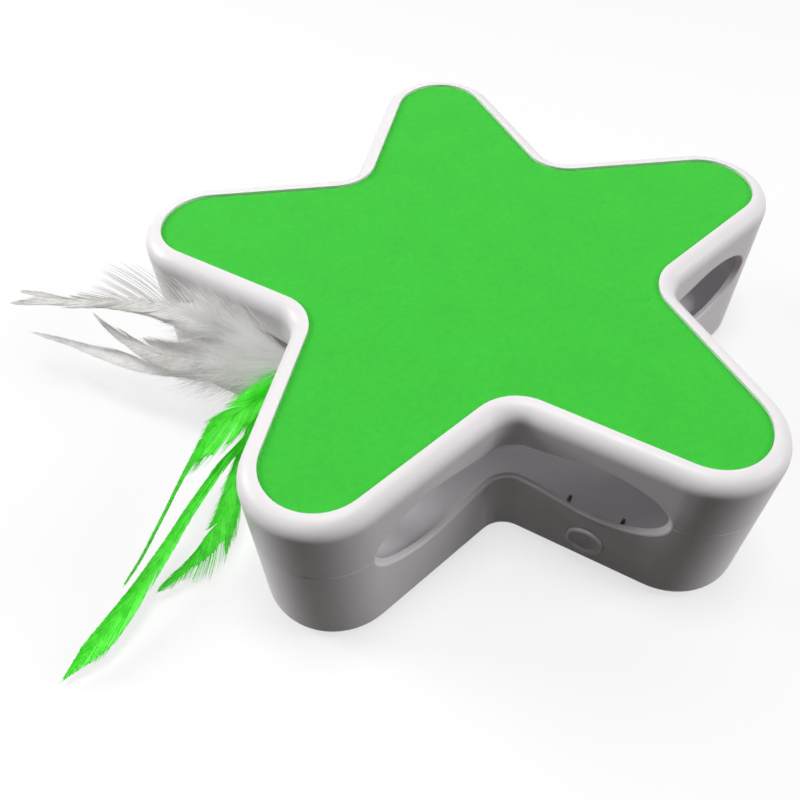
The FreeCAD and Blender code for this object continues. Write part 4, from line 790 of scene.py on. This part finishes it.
# floor: dark for the light that bounces off it, nearly white with a pale shadow where it is seen
studio = {
    "floorHalf": 3.0, "floorBounce": (0.045, 0.031, 0.028), "floorSeen": 0.30,
    "floorGlow": (0.70, 1.0), "glowReach": (0.45, 1.1), "sky": (0.020, 0.017, 0.018),
    "lamps": {
        "topLight": {"azimuth": 270, "elevation": 90, "distance": 1.1, "size": (0.34, 0.30), "power": 5.75,
                     "colour": (1.0, 1.0, 1.0)},
        "leftLight": {"azimuth": 160, "elevation": 28, "distance": 1.3, "size": (0.5, 0.6), "power": 11.0,
                      "colour": (1.0, 0.985, 1.0)},
        "rightLight": {"azimuth": 347, "elevation": 33, "distance": 1.6, "size": (0.7, 0.8), "power": 12.0,
                       "colour": (1.0, 0.975, 0.99)},
    },
}


def seenDirectly(tree):
    # 1 for what the camera sees, also in a gloss or through something clear
    rays = tree.nodes.new("ShaderNodeLightPath")
    either = maths(tree, "MAXIMUM", rays.outputs["Is Camera Ray"], rays.outputs["Is Glossy Ray"])
    return maths(tree, "MAXIMUM", either, rays.outputs["Is Transmission Ray"])


def twoShaders(tree, factor, first, second):
    # the first shader where factor is 0, the second where it is 1
    mix = tree.nodes.new("ShaderNodeMixShader")
    tree.links.new(factor, mix.inputs["Fac"])
    tree.links.new(first.outputs[0], mix.inputs[1])
    tree.links.new(second.outputs[0], mix.inputs[2])
    return mix


def farGlow(tree):
    # the paper's own light rises with the distance from the toy, so that its far end is white
    place = tree.nodes.new("ShaderNodeTexCoord")
    away = tree.nodes.new("ShaderNodeVectorMath")
    away.operation = "LENGTH"
    tree.links.new(place.outputs["Object"], away.inputs[0])
    fade = tree.nodes.new("ShaderNodeMapRange")
    fade.inputs["From Min"].default_value, fade.inputs["From Max"].default_value = studio["glowReach"]
    fade.inputs["To Min"].default_value, fade.inputs["To Max"].default_value = studio["floorGlow"]
    tree.links.new(away.outputs["Value"], fade.inputs["Value"])
    glow = tree.nodes.new("ShaderNodeEmission")
    tree.links.new(fade.outputs["Result"], glow.inputs["Strength"])
    return glow


def paperFloor():
    mesh = bpy.data.meshes.new("floor")
    half = studio["floorHalf"]
    corners = [(-half, -half, 0), (half, -half, 0), (half, half, 0), (-half, half, 0)]
    mesh.from_pydata(corners, [], [(0, 1, 2, 3)])
    floor = bpy.data.objects.new("floor", mesh)
    bpy.context.collection.objects.link(floor)
    paper = bpy.data.materials.new("floorPaper")
    paper.use_nodes = True
    tree = paper.node_tree
    tree.nodes.clear()
    out = tree.nodes.new("ShaderNodeOutputMaterial")
    bounce = tree.nodes.new("ShaderNodeBsdfDiffuse")
    bounce.inputs["Color"].default_value = (*studio["floorBounce"], 1)
    matte = tree.nodes.new("ShaderNodeBsdfDiffuse")
    matte.inputs["Color"].default_value = (studio["floorSeen"],) * 3 + (1,)
    both = tree.nodes.new("ShaderNodeAddShader")
    tree.links.new(matte.outputs[0], both.inputs[0])
    tree.links.new(farGlow(tree).outputs[0], both.inputs[1])
    top = twoShaders(tree, seenDirectly(tree), bounce, both)
    # from below the paper is clear, so that the underside can be looked at
    under = tree.nodes.new("ShaderNodeNewGeometry").outputs["Backfacing"]
    sheet = twoShaders(tree, under, top, tree.nodes.new("ShaderNodeBsdfTransparent"))
    tree.links.new(sheet.outputs[0], out.inputs["Surface"])
    mesh.materials.append(paper)


def softWorld():
    world = bpy.data.worlds.new("studio")
    bpy.context.scene.world = world
    world.use_nodes = True
    tree = world.node_tree
    tree.nodes.clear()
    out = tree.nodes.new("ShaderNodeOutputWorld")
    soft = tree.nodes.new("ShaderNodeBackground")
    soft.inputs["Color"].default_value = (*studio["sky"], 1)
    white = tree.nodes.new("ShaderNodeBackground")
    white.inputs["Color"].default_value = (1, 1, 1, 1)
    tree.links.new(twoShaders(tree, seenDirectly(tree), soft, white).outputs[0], out.inputs["Surface"])


def softBox(name, plan):
    # a rectangle of light that faces the origin from the given direction
    lamp = bpy.data.lights.new(name, "AREA")
    lamp.shape = "RECTANGLE"
    lamp.size, lamp.size_y = plan["size"]
    lamp.energy = plan["power"]
    lamp.color = plan["colour"]
    holder = bpy.data.objects.new(name, lamp)
    bpy.context.collection.objects.link(holder)
    azimuth, elevation = math.radians(plan["azimuth"]), math.radians(plan["elevation"])
    flat, height = plan["distance"] * math.cos(elevation), plan["distance"] * math.sin(elevation)
    holder.location = (flat * math.cos(azimuth), flat * math.sin(azimuth), height)
    holder.rotation_euler = (math.pi / 2 - elevation, 0, azimuth + math.pi / 2)
    holder.visible_camera = False


paperFloor()
softWorld()
for lampName, lampPlan in studio["lamps"].items():
    softBox(lampName, lampPlan)
bpy.context.scene.view_settings.view_transform = "Standard"
print("studio done")
